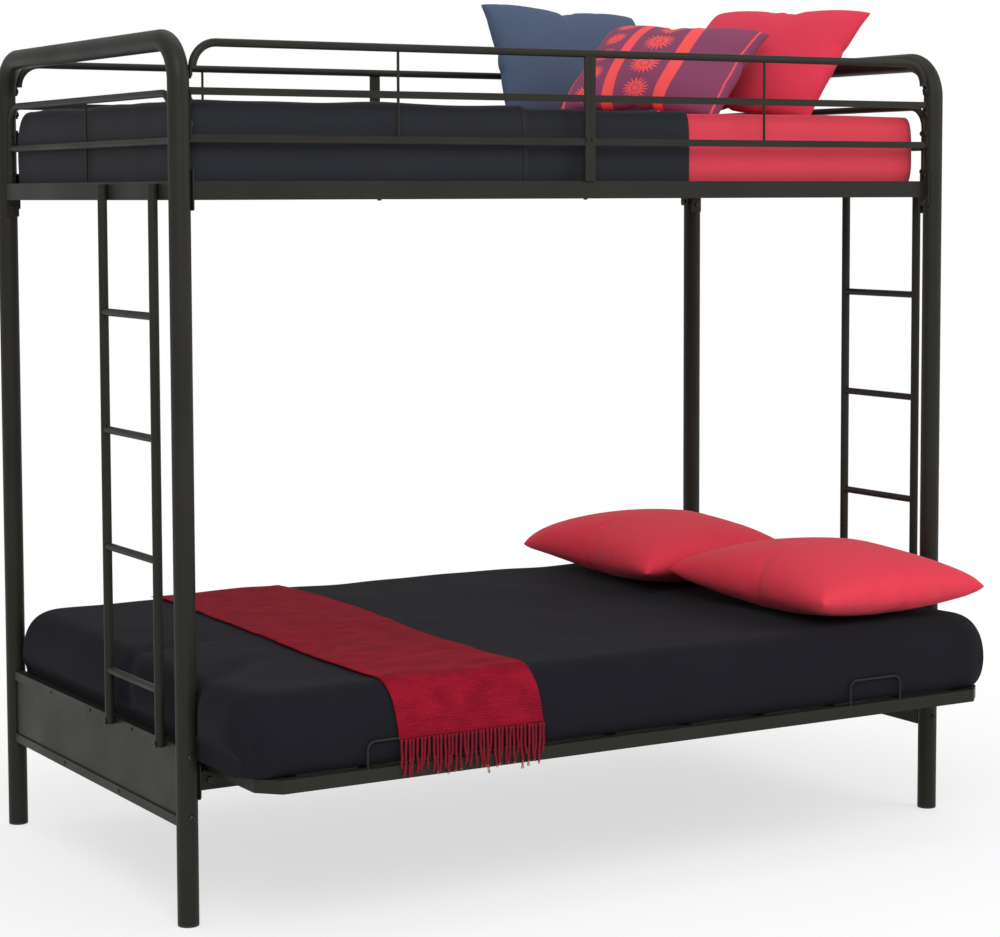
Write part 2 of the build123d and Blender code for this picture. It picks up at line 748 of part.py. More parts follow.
def back_frame():
    """The back half of the deck, slotted where the hinge plates enter its front bar."""
    body = deck_ring(back_outline())
    front = fold_y + fold_half_gap
    half_h = hinge_plate_h / 2 + seat_gap
    for sx in ends:
        out = deck_half_x - deck_wall
        body -= block((sx * out, sx * (out - hinge_plate_t - seat_gap)),
                      (front - overrun, front + deck_wall + overrun), (fold_z - half_h, fold_z + half_h))
    return body


def deck_slats(front, rear):
    """Rectangular tubes that run from front to rear inside a deck frame."""
    low, high = deck_low_z + deck_wall, deck_low_z + deck_h - deck_wall
    span = 2 * (deck_half_x - deck_chamfer)
    step = span / (slat_count - 1)
    slats = []
    for index in range(slat_count):
        x = -span / 2 + step * index
        shift = slat_w if index == 0 else -slat_w if index == slat_count - 1 else 0
        slats.append(box_tube((x + shift - slat_w / 2, x + shift + slat_w / 2),
                              (front + deck_wall, rear - deck_wall), (low, high), slat_wall, "Y"))
    return grouped(slats)


def hinge_bore(sx):
    """The hole of one hinge pin."""
    near = deck_half_x - deck_flange_w
    far = deck_half_x + hinge_plate_t + overrun + hinge_side_gap
    return rod((sx * near, fold_y, fold_z), (sx * far, fold_y, fold_z),
               hinge_pin_d + 2 * hinge_bore_clearance)


def hinge_plate(x_range, direction):
    """A rounded plate about the fold axis that runs along its frame in one direction."""
    ear = rod((x_range[0], fold_y, fold_z), (x_range[1], fold_y, fold_z), 2 * hinge_ear_r)
    arm = block(x_range, (fold_y, fold_y + direction * hinge_plate_reach),
                (fold_z - hinge_plate_h / 2, fold_z + hinge_plate_h / 2))
    return ear + arm


def seat_hinge_plates():
    """The outer plates, flat on the outside of the seat frame."""
    plates = []
    for sx in ends:
        x_range = (sx * (deck_half_x + hinge_side_gap), sx * (deck_half_x + hinge_side_gap + hinge_plate_t))
        plates.append(hinge_plate(x_range, -1) - hinge_bore(sx))
    return grouped(plates)


def back_hinge_plates():
    """The inner plates, inside the channel of the back frame."""
    plates = []
    for sx in ends:
        out = deck_half_x - deck_wall
        x_range = (sx * (out - hinge_plate_t), sx * out)
        plates.append(hinge_plate(x_range, 1) - hinge_bore(sx))
    return grouped(plates)


def hinge_pins():
    """The pins on the fold axis, with a head on each end."""
    pins = []
    for sx in ends:
        inner = deck_half_x - deck_wall - hinge_plate_t - hinge_side_gap
        outer = deck_half_x + 2 * hinge_side_gap + hinge_plate_t
        pin = rod((sx * inner, fold_y, fold_z), (sx * outer, fold_y, fold_z), hinge_pin_d)
        inside = rod((sx * inner, fold_y, fold_z), (sx * (inner - hinge_head_h), fold_y, fold_z),
                     hinge_head_d)
        outside = rod((sx * outer, fold_y, fold_z), (sx * (outer + hinge_head_h), fold_y, fold_z),
                      hinge_head_d)
        pins.append(pin + inside + outside)
    return grouped(pins)


def roller_mid_x():
    """How far out the middle of each roller runs."""
    return channel_web_x - channel_wall - hinge_side_gap - axle_head_h - seat_gap - roller_w / 2


def roller_axles():
    """The axles that carry the rollers, riveted through the seat's side bars."""
    axles = []
    outer = roller_mid_x() + roller_w / 2 + seat_gap
    inner = deck_half_x - deck_wall - seat_gap
    for sx in ends:
        for y in roller_ys():
            shaft = rod((sx * inner, y, roller_z), (sx * outer, y, roller_z), axle_d)
            head = rod((sx * outer, y, roller_z), (sx * (outer + axle_head_h), y, roller_z), axle_head_d)
            tail = rod((sx * inner, y, roller_z), (sx * (inner - axle_head_h), y, roller_z), axle_head_d)
            shoulder = rod((sx * (deck_half_x + seat_gap), y, roller_z),
                           (sx * (roller_mid_x() - roller_w / 2 - seat_gap), y, roller_z), axle_head_d)
            axles.append(shaft + head + tail + shoulder)
    return grouped(axles)


def rollers():
    """Four nylon rollers on their axles."""
    wheels = []
    for sx in ends:
        for y in roller_ys():
            start, end = roller_mid_x() - roller_w / 2, roller_mid_x() + roller_w / 2
            wheel = rod((sx * start, y, roller_z), (sx * end, y, roller_z), roller_d)
            wheel -= rod((sx * start, y, roller_z), (sx * end, y, roller_z), axle_d + 2 * axle_clearance)
            wheels.append(wheel)
    return grouped(wheels)


def retainers():
    """Two wire loops that stand on the seat's front bar and hold the mattress back."""
    y = deck_front_y + wire_inset
    top = deck_top_z + wire_rise
    loops = []
    for x in (wire_left_in - deck_half_x, deck_half_x - wire_right_in):
        points = [(x - wire_half_w, y, deck_top_z), (x - wire_half_w, y, top), (x + wire_half_w, y, top),
                  (x + wire_half_w, y, deck_top_z)]
        path = FilletPolyline(*points, radius=wire_bend_r)
        loops.append(sweep(Plane(origin=path @ 0, z_dir=path % 0) * Circle(wire_d / 2), path=path))
    return grouped(loops)


# Soft parts

def swell(half_length, half_depth, corner_r, low, high, level_shares, inset_shares):
    """A cushion as a stack of rounded outlines: each level is drawn in by its share of the corner."""
    height = high - low
    outlines = []
    for level, inset in zip(level_shares, inset_shares):
        draw_in = corner_r * inset
        outline = RectangleRounded(2 * (half_length - draw_in), 2 * (half_depth - draw_in),
                                   corner_r * (1 - inset / 2))
        outlines.append(Pos(0, 0, low + height * level) * outline)
    return loft(outlines, ruled=True)


# The futon mattress bulges below its middle and draws in towards a soft top edge.
futon_level_shares = (0.0, 0.06, 0.17, 0.36, 0.58, 0.76, 0.9, 0.97, 1.0)
futon_inset_shares = (0.22, 0.1, 0.03, 0.0, 0.03, 0.12, 0.28, 0.46, 0.66)


def futon_whole():
    """The futon mattress in one piece, before it is divided at the fold."""
    body = swell(futon_half_x, (futon_rear_y - futon_front_y) / 2, futon_corner_r, futon_low_z, futon_top_z,
                 futon_level_shares, futon_inset_shares)
    return Pos(0, (futon_rear_y + futon_front_y) / 2, 0) * body


def fold_wedge(extra, top_z):
    """The wedge that closes when the back rises: its sides lean by half the fold angle."""
    height = top_z - fold_z + overrun
    half_w = height * tan(radians(fold_angle / 2)) + extra
    base = extra + fold_margin
    depth = overrun + futon_half_x
    outline = Plane.YZ * make_face(Polyline(
        (fold_y - base, deck_low_z), (fold_y - base, fold_z), (fold_y - half_w, fold_z + height),
        (fold_y + half_w, fold_z + height), (fold_y + base, fold_z), (fold_y + base, deck_low_z),
        close=True))
    return extrude(outline, amount=depth, both=True)


def side_of_fold(body, direction):
    """What of a soft part lies on one side of the fold wedge."""
    reach = futon_rear_y - throw_front_y
    half = block((-futon_half_x - overrun, futon_half_x + overrun), (fold_y, fold_y + direction * reach),
                 (0, bunk_top_z))
    return (body & half) - fold_wedge(fold_margin, futon_top_z + throw_t + soft_gap)


def throw_whole():
    """The throw as one thick strip: along the mattress top, round its front edge and down to the hem."""
    top = futon_top_z + soft_gap
    step = throw_w / throw_fold_count
    rear = futon_rear_y - throw_rear_inset
    front = throw_front_y + throw_t
    outer_r = throw_bend_r + throw_t
    outer = make_face(Plane.YZ * (
        Polyline((rear, top), (rear, top + throw_t), (throw_front_y + outer_r, top + throw_t))
        + RadiusArc((throw_front_y + outer_r, top + throw_t), (throw_front_y, top + throw_t - outer_r),
                    -outer_r)
        + Polyline((throw_front_y, top + throw_t - outer_r), (throw_front_y, throw_hem_z),
                   (front, throw_hem_z), (front, top - throw_bend_r))
        + RadiusArc((front, top - throw_bend_r), (front + throw_bend_r, top), throw_bend_r)
        + Line((front + throw_bend_r, top), (rear, top))))
    body = Pos(throw_mid_x, 0, 0) * extrude(outer, amount=throw_w / 2, both=True)
    folds = []
    for index in range(throw_fold_count - 1):
        x = throw_mid_x - throw_w / 2 + step * (index + 1)
        folds.append(rod((x, throw_front_y, throw_hem_z), (x, throw_front_y, top + throw_t - outer_r),
                         2 * throw_fold_depth))
    for fold in folds:
        body = body + fold
    return body


# A pillow swells from its seam: height over the seam as a share, and the outline's share there.
pillow_level_shares = (-1.0, -0.9, -0.7, -0.42, -0.16, 0.0, 0.16, 0.42, 0.7, 0.9, 1.0)
pillow_size_shares = (0.3, 0.52, 0.74, 0.9, 0.975, 1.0, 0.975, 0.9, 0.74, 0.52, 0.3)
pillow_waist_share = 0.045


def pillow(size):
    """A stuffed pillow on a flat plane: pointed corners, drawn-in sides and a crown on both faces."""
    length, height, thick = size
    outlines = []
    for level, share in zip(pillow_level_shares, pillow_size_shares):
        x, y = share * length / 2, share * height / 2
        dip_x, dip_y = pillow_waist_share * length * share, pillow_waist_share * height * share
        sides = [ThreePointArc((-x, -y), (0, -y + dip_y), (x, -y)),
                 ThreePointArc((x, -y), (x - dip_x, 0), (x, y)),
                 ThreePointArc((x, y), (0, y - dip_y), (-x, y)),
                 ThreePointArc((-x, y), (-x + dip_x, 0), (-x, -y))]
        outlines.append(Pos(0, 0, level * thick / 2) * make_face(Wire(sides)))
    return loft(outlines, ruled=True)


def pillow_place(inset, half_length, side_y, direction):
    """The middle of a pillow in plan, from how far in it lies from the right end and from one edge."""
    return (half_length - inset[0], side_y + direction * inset[1])


def set_down(body, height):
    """The same body moved straight up or down until its lowest point is at that height."""
    return Pos(0, 0, height - body.bounding_box().min.Z) * body


def lying_pillow(size, place, tilt, turn):
    """A pillow that lies on the futon, tipped about its length and turned in plan."""
    body = Rot(0, 0, turn) * Rot(tilt, 0, 0) * pillow(size)
    return set_down(Pos(place[0], place[1], 0) * body, futon_top_z + soft_gap)


def leaning_pillow(size, place, turn, tilt, roll, rest_z):
    """A pillow that stands on its lower edge: it leans by tilt from the mattress, its face turned."""
    body = Pos(0, size[1] / 2, 0) * pillow(size)
    body = Rot(0, 0, turn) * Rot(tilt, 0, 0) * Rot(0, 0, roll) * body
    return set_down(Pos(place[0], place[1], 0) * body, rest_z)


bunk_level_shares = (0.0, 0.06, 0.16, 0.4, 0.7, 0.88, 0.96, 1.0)
bunk_inset_shares = (0.4, 0.18, 0.05, 0.0, 0.02, 0.1, 0.24, 0.46)


def bunk_pad(growth):
    """The bunk mattress, or the same form grown outwards by a little for the covers on it."""
    low = bunk_slat_top_z + soft_gap
    return swell(bunk_half_x + growth, bunk_half_y + growth, bunk_corner_r, low, bunk_top_z + growth,
                 bunk_level_shares, bunk_inset_shares)


def coverlet(end_x, inside, outside):
    """A cover over the left part of the mattress, open underneath."""
    left_of = block((-half_x, end_x), (-half_y, half_y), (rail_low_z, bunk_top_z + outside + overrun))
    low = bunk_slat_top_z + soft_gap
    under = block((-half_x, half_x), (-half_y, half_y), (rail_low_z, low + coverlet_t))
    return (bunk_pad(outside) & left_of) - bunk_pad(inside) - under


def bolts():
    """Every group of fasteners, by part name."""
    ladder_places = ladder_bolt_places()
    tops = [place for place in ladder_places if place[1][0] * place[0][0] < 0]
    feet = [place for place in ladder_places if place[1][0] * place[0][0] > 0]
    guard_places = guard_bolt_places()
    guards = [bolt(place) for place in guard_places]
    guards += [bolt(place, grip=bolt_grip + end_guard_d) for place in end_guard_bolt_places()]
    guards += [bolt(place, big=False, grip=splice_bar_t + splice_plate_t + small_grip)
               for place in splice_bolt_places()]
    stretchers = [bolt(place) for place in bracket_bolt_places()]
    stretchers += [bolt(place, grip=stretcher_t + seat_gap + bracket_t + bolt_head_h)
                   for place in stretcher_bolt_places()]
    return {
        "rail_bolts": grouped([bolt(place) for place in rail_bolt_places() + end_rail_bolt_places()]),
        "guard_bolts": grouped(guards),
        "panel_bolts": grouped([bolt(place, grip=panel_bolt_grip) for place in panel_bolt_places()]),
        "stretcher_bolts": grouped(stretchers),
        "ladder_bolts": grouped([bolt(place, grip=ladder_top_grip) for place in tops]
                                + [bolt(place, grip=ladder_foot_grip) for place in feet]),
        "channel_rivets": grouped([bolt(place, big=False, grip=channel_rivet_grip)
                                   for place in channel_rivet_places()]),
        "slat_screws": grouped([bolt(place, big=False, grip=rail_t) for place in slat_screw_places()]),
    }


def frame_parts():
    """The fixed steel frame and what is screwed to it."""
    parts = {}
    for sx, side in zip(ends, ("left", "right")):
        for sy, depth in zip(ends, ("front", "rear")):
            parts[f"{depth}_{side}_post"] = post(sx, sy)
            parts[f"{depth}_{side}_guard"] = guard_half(sx, sy)
        parts[f"{side}_end_hoop"] = end_hoop(sx)
        parts[f"{side}_end_guard"] = end_guard(sx)
        parts[f"{side}_end_rail"] = end_rail(sx)
        parts[f"{side}_ladder"] = ladder(sx)
        parts[f"{side}_end_panel"] = end_panel(sx)
        parts[f"{side}_guide_channel"] = guide_channel(sx)
    for sy, depth in zip(ends, ("front", "rear")):
        parts[f"{depth}_side_rail"] = side_rail(sy)
        parts[f"{depth}_stretcher"] = stretcher(sy)
    parts["guard_splice_plates"] = splice_plates()
    parts["stretcher_brackets"] = stretcher_brackets()
    parts["glide_pads"] = glide_pads()
    parts["bunk_slats"] = bunk_slats()
    parts["foot_caps"] = foot_caps()
    parts.update(bolts())
    return parts


def deck_parts():
    """The two halves of the futon deck and what lets them move."""
    return {
        "seat_frame": seat_frame(),
        "seat_slats": deck_slats(deck_front_y, fold_y - fold_half_gap),
        "seat_hinge_plates": seat_hinge_plates(),
        "hinge_pins": hinge_pins(),
        "roller_axles": roller_axles(),
        "rollers": rollers(),
        "mattress_retainers": retainers(),
        "back_frame": back_frame(),
        "back_slats": deck_slats(fold_y + fold_half_gap, deck_back_y),
        "back_hinge_plates": back_hinge_plates(),
    }


def soft_parts():
    """Mattresses, covers, throw and pillows."""
    futon = futon_whole()
    throw = throw_whole()
    futon_wedge = fold_wedge(0, futon_top_z + throw_t + soft_gap)
    bunk_rest = bunk_top_z + soft_gap
    cover_step = coverlet_t + soft_gap
    return {
        "futon_mattress_seat": side_of_fold(futon, -1),
        "futon_mattress_back": side_of_fold(futon, 1),
        "futon_mattress_fold": futon & futon_wedge,
        "throw_front": side_of_fold(throw, -1),
        "throw_rear": side_of_fold(throw, 1),
        "throw_middle": throw & futon_wedge,
        "seat_pillow": lying_pillow(
            seat_pillow_size, pillow_place(seat_pillow_in, futon_half_x, futon_front_y, 1), 0, 90),
        "back_pillow": lying_pillow(
            back_pillow_size, pillow_place(back_pillow_in, futon_half_x, futon_rear_y, -1), 0, 90),
        "bunk_mattress": bunk_pad(0),
        "inner_coverlet": coverlet(bunk_half_x - inner_coverlet_in, soft_gap, cover_step),
        "outer_coverlet": coverlet(bunk_half_x - outer_coverlet_in, cover_step + soft_gap, 2 * cover_step),
        "blue_pillow": leaning_pillow(
            blue_pillow_size, pillow_place(blue_pillow_in, bunk_half_x, bunk_half_y, -1), 0, 55, -3,
            bunk_rest),
        "patterned_pillow": leaning_pillow(
            patterned_pillow_size, pillow_place(patterned_pillow_in, bunk_half_x, -bunk_half_y, 1), -54, 37,
            -6, bunk_rest),
        "red_pillow": leaning_pillow(
            red_pillow_size, pillow_place(red_pillow_in, bunk_half_x, -bunk_half_y, 1), -71, 48, -3,
            bunk_rest),
    }


def main():
    """Builds every part and writes each to its own file."""
    os.makedirs("parts", exist_ok=True)
    parts = {**frame_parts(), **deck_parts(), **soft_parts()}
    for name, part in parts.items():
        export_step(Pos(0, depth_shift, 0) * part, f"parts/{name}.step")


main()
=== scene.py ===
"""A twin bunk over a convertible futon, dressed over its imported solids.

X runs along the bed, Y from the open front to the wall side and Z up, all in metres. Sizes in the
classes are measured from the middle of the four posts, and Datum moves them to the frame's own Y.
"""

import json
import logging
import math
from dataclasses import dataclass, field, replace
from enum import Enum
from typing import Any, Callable, Iterable, Sequence

import bmesh
import bpy
import numpy as np
from mathutils import Matrix, Vector

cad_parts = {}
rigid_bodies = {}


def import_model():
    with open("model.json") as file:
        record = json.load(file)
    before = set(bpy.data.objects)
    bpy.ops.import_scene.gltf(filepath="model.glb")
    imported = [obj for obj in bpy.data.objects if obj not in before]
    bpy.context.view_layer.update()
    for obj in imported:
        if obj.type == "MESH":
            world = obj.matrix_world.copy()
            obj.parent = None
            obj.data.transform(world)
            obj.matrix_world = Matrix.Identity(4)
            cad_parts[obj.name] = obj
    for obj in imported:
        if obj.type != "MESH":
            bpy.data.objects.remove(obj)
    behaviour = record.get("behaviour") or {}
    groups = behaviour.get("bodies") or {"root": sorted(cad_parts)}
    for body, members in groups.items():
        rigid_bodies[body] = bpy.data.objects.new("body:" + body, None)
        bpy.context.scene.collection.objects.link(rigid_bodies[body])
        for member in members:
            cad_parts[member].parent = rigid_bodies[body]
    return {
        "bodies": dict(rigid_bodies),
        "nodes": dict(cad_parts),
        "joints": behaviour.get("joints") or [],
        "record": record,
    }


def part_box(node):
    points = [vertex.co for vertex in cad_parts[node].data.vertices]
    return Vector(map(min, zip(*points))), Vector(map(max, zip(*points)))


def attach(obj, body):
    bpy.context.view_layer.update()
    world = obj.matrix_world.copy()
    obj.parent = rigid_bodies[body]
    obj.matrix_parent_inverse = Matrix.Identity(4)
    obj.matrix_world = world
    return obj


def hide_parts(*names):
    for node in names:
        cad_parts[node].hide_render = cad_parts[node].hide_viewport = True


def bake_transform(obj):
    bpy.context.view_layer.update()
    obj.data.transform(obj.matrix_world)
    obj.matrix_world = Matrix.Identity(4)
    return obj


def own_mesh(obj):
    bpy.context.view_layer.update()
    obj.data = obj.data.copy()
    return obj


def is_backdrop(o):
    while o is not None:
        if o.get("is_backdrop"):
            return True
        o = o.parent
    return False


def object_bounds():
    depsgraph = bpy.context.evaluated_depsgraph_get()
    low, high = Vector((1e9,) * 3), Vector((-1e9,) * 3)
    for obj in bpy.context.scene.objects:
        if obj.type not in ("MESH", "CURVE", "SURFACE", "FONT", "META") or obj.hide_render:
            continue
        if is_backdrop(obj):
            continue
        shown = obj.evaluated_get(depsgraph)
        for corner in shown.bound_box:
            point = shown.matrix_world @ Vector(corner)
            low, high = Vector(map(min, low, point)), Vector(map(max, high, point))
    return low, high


log = logging.getLogger("bunk_over_futon")

Array = np.ndarray
Colour = tuple[float, float, float]
Socket = bpy.types.NodeSocket

TINY = 1e-7  # metres that count as no length


def shade(red: int, green: int, blue: int) -> Colour:
    """A colour written as 0 to 255 per channel, made linear.

    A channel c from 0 to 1 becomes c / 12.92 up to 0.04045, and ((c + 0.055) / 1.055) to the 2.4 above.

    Args:
        red: the first channel.
        green: the second.
        blue: the third.

    Returns:
        The linear colour.
    """
    def linear(value: int) -> float:
        """One channel."""
        share = value / 255.0
        return share / 12.92 if share <= 0.04045 else ((share + 0.055) / 1.055) ** 2.4
    return (linear(red), linear(green), linear(blue))


# Materials

class Shader:
    """A node material under construction, with a principled surface on its output."""

    def __init__(self, name: str) -> None:
        """Makes the material and its surface.

        Args:
            name: the finish's name.
        """
        self.material = bpy.data.materials.new(name)
        self.material.use_nodes = True
        self.tree = self.material.node_tree
        self.tree.nodes.clear()
        self.surface = self.tree.nodes.new("ShaderNodeBsdfPrincipled")
        self.output = self.tree.nodes.new("ShaderNodeOutputMaterial")
        self.tree.links.new(self.surface.outputs[0], self.output.inputs["Surface"])

    def node(self, kind: str, **settings: Any) -> bpy.types.Node:
        """Adds a node.

        Args:
            kind: the node's type.
            settings: properties to set on it.

        Returns:
            The node.
        """
        made = self.tree.nodes.new(kind)
        for key, value in settings.items():
            setattr(made, key, value)
        return made

    def feed(self, socket: Socket, value: Any) -> None:
        """Links a socket to another, or gives it a value.

        Args:
            socket: the input.
            value: another node's output, a colour or a number.
        """
        if isinstance(value, Socket):
            self.tree.links.new(value, socket)
        elif isinstance(value, tuple) and len(value) == 3 and socket.type == "RGBA":
            socket.default_value = (*value, 1.0)
        else:
            socket.default_value = value

    def put(self, **values: Any) -> None:
        """Sets inputs of the surface by name, with spaces written as underscores."""
        for key, value in values.items():
            self.feed(self.surface.inputs[key.replace("_", " ")], value)

    def math(self, operation: str, first: Any, second: Any = 0.0, clamp: bool = False) -> Socket:
        """One sum on one or two numbers.

        Args:
            operation: the name of the sum.
            first: a number or a socket.
            second: another, where the sum takes two.
            clamp: whether the result is kept from 0 to 1.

        Returns:
            The result.
        """
        made = self.node("ShaderNodeMath", operation=operation, use_clamp=clamp)
        self.feed(made.inputs[0], first)
        self.feed(made.inputs[1], second)
        return made.outputs[0]

    def times(self, first: Any, second: Any) -> Socket:
        """The product of two numbers."""
        return self.math("MULTIPLY", first, second)

    def plus(self, first: Any, second: Any) -> Socket:
        """The sum of two numbers."""
        return self.math("ADD", first, second)

    def sine(self, value: Any, factor: float) -> Socket:
        """The sine of a number times a factor."""
        return self.math("SINE", self.times(value, factor))

    def lifted(self, value: Any) -> Socket:
        """A number from -1 to 1 moved to 0 to 1."""
        return self.times(self.plus(value, 1.0), 0.5)

    def distance(self, x: Any, y: Any) -> Socket:
        """The root of x squared plus y squared."""
        return self.math("SQRT", self.plus(self.times(x, x), self.times(y, y)))

    def weighted(self, values: Sequence[Any], weights: Sequence[float], clamp: bool = False) -> Socket:
        """The sum of some numbers, each times its weight.

        Args:
            values: the numbers.
            weights: a weight for each.
            clamp: whether the sum is kept from 0 to 1.

        Returns:
            The sum.
        """
        total: Any = 0.0
        for value, weight in zip(values, weights):
            total = self.math("ADD", total, self.times(value, weight), clamp)
        return total

    def coordinates(self, source: str, scale: Sequence[float] = (1, 1, 1),
                    shift: Sequence[float] = (0, 0, 0)) -> Socket:
        """Object or UV coordinates, stretched and moved.

        Args:
            source: "Object" or "UV".
            scale: factor on each axis.
            shift: what is added after that.

        Returns:
            The vector socket.
        """
        texture = self.node("ShaderNodeTexCoord")
        mapping = self.node("ShaderNodeMapping")
        self.feed(mapping.inputs["Vector"], texture.outputs[source])
        mapping.inputs["Scale"].default_value = tuple(scale)
        mapping.inputs["Location"].default_value = tuple(shift)
        return mapping.outputs[0]

    def split(self, vector: Socket) -> tuple[Socket, ...]:
        """The three numbers of a vector.

        Args:
            vector: the vector.

        Returns:
            Its x, y and z.
        """
        made = self.node("ShaderNodeSeparateXYZ")
        self.feed(made.inputs[0], vector)
        return tuple(made.outputs)

    def noise(self, vector: Socket, scale: float = 1.0, detail: float = 3.0, rough: float = 0.5) -> Socket:
        """Cloudy noise from 0 to 1.

        Args:
            vector: the place.
            scale: how many clouds there are to a unit of it.
            detail: how many finer layers are added.
            rough: how strong each finer layer is.

        Returns:
            The noise.
        """
        made = self.node("ShaderNodeTexNoise")
        self.feed(made.inputs["Vector"], vector)
        made.inputs["Scale"].default_value = scale
        made.inputs["Detail"].default_value = detail
        made.inputs["Roughness"].default_value = rough
        return made.outputs["Fac"]

    def ramp(self, factor: Socket, low: float = 0.0, high: float = 1.0, start: float = 0.3,
             end: float = 0.7) -> Socket:
        """A smooth step from low to high as the factor goes from start to end.

        Args:
            factor: what the step follows.
            low: the result up to the start.
            high: the result from the end on.
            start: where the step starts; a noise is mostly above 0.3.
            end: where the step ends; a noise is mostly below 0.7.

        Returns:
            The step.
        """
        made = self.node("ShaderNodeMapRange", interpolation_type="SMOOTHSTEP")
        for name, value in (("Value", factor), ("From Min", start), ("From Max", end),
                            ("To Min", low), ("To Max", high)):
            self.feed(made.inputs[name], value)
        return made.outputs["Result"]

    def mix(self, factor: Any, first: Any, second: Any) -> Socket:
        """A blend of two colours.

        Args:
            factor: the share of the second.
            first: one colour.
            second: the other.

        Returns:
            The colour between them.
        """
        made = self.node("ShaderNodeMix", data_type="RGBA")
        self.feed(made.inputs["Factor"], factor)
        self.feed(made.inputs[6], first)
        self.feed(made.inputs[7], second)
        return made.outputs[2]

    def bump(self, height: Socket, distance: float) -> None:
        """Raises the surface.

        Args:
            height: how high it is, from 0 to 1.
            distance: the metres that 1 stands for.
        """
        made = self.node("ShaderNodeBump")
        made.inputs["Strength"].default_value = 1.0
        made.inputs["Distance"].default_value = distance
        self.feed(made.inputs["Height"], height)
        self.feed(self.surface.inputs["Normal"], made.outputs[0])

    def varied(self, colour: Colour, clouds: Socket, spread: float) -> Socket:
        """A colour that is a little darker and lighter with the clouds.

        Args:
            colour: the colour in the middle.
            clouds: the noise that it follows.
            spread: the largest share by which it changes.

        Returns:
            The colour.
        """
        dark = tuple(value * (1 - spread) for value in colour)
        light = tuple(min(1.0, value * (1 + spread)) for value in colour)
        return self.mix(self.ramp(clouds), dark, light)


@dataclass(frozen=True)
class Finish:
    """The look of a surface, in metres, as nodes that each kind lays on a new material."""

    def lay(self, shader: Shader) -> None:
        """Puts the finish's nodes on a material."""
        raise NotImplementedError

    def build(self, name: str) -> bpy.types.Material:
        """Makes the material.

        Args:
            name: the material's name.

        Returns:
            The material.
        """
        shader = Shader(name)
        self.lay(shader)
        return shader.material


@dataclass(frozen=True)
class PowderCoat(Finish):
    """Dark bronze powder coat: a fine orange peel, slightly uneven gloss, and rubbed high spots."""
    colour: Colour = shade(36, 35, 30)
    spread: float = 0.10
    rubbed: Colour = shade(60, 58, 50)
    rubbed_share: float = 0.35
    roughness: tuple[float, float] = (0.40, 0.52)
    gloss: float = 0.14
    peel: float = 0.00006

    def lay(self, shader: Shader) -> None:
        """Lays clouds, rubbed spots and the peel.

        Args:
            shader: the material that is being made.
        """
        place = shader.coordinates("Object")
        clouds = shader.noise(place, scale=5.0)
        scuffs = shader.noise(place, scale=60.0, detail=5.0, rough=0.7)
        rubbed = shader.ramp(scuffs, 0.0, self.rubbed_share, start=0.62, end=0.82)
        coat = shader.varied(self.colour, clouds, self.spread)
        shader.put(Base_Color=shader.mix(rubbed, coat, self.rubbed),
                   Roughness=shader.ramp(clouds, *self.roughness), Specular_IOR_Level=self.gloss)
        shader.bump(shader.noise(place, scale=900.0, detail=2.0), self.peel)


@dataclass(frozen=True)
class BlackOxide(Finish):
    """Satin black-oxide fasteners with paler spots painted on as highlights."""
    colour: Colour = shade(44, 43, 41)
    # Pale spots painted over the black stand for highlights on the bolt heads.
    painted_highlight: Colour = shade(118, 115, 108)
    painted_highlight_share: float = 0.5
    roughness: tuple[float, float] = (0.33, 0.48)
    metallic: float = 0.8
    grain: float = 0.00003

    def lay(self, shader: Shader) -> None:
        """Lays spots of painted highlight and a fine grain.

        Args:
            shader: the material that is being made.
        """
        place = shader.coordinates("Object")
        clouds = shader.noise(place, scale=240.0, detail=4.0)
        # Where the painted highlight shows over the black.
        painted_highlight = shader.ramp(clouds, 0.0, self.painted_highlight_share, start=0.5, end=0.75)
        shader.put(Base_Color=shader.mix(painted_highlight, self.colour, self.painted_highlight),
                   Roughness=shader.ramp(clouds, *self.roughness), Metallic=self.metallic)
        shader.bump(shader.noise(place, scale=1500.0, detail=2.0), self.grain)


@dataclass(frozen=True)
class MouldedNylon(Finish):
    """Black moulded nylon with a fine spark texture."""
    colour: Colour = shade(28, 28, 28)
    spread: float = 0.15
    roughness: tuple[float, float] = (0.45, 0.60)
    spark: float = 0.00008

    def lay(self, shader: Shader) -> None:
        """Lays clouds and the spark texture.

        Args:
            shader: the material that is being made.
        """
        place = shader.coordinates("Object")
        clouds = shader.noise(place, scale=60.0)
        shader.put(Base_Color=shader.varied(self.colour, clouds, self.spread),
                   Roughness=shader.ramp(clouds, *self.roughness))
        shader.bump(shader.noise(place, scale=1100.0), self.spark)


class Weave(Enum):
    """How the threads of a cloth cross."""
    PLAIN = "plain"
    TWILL = "twill"


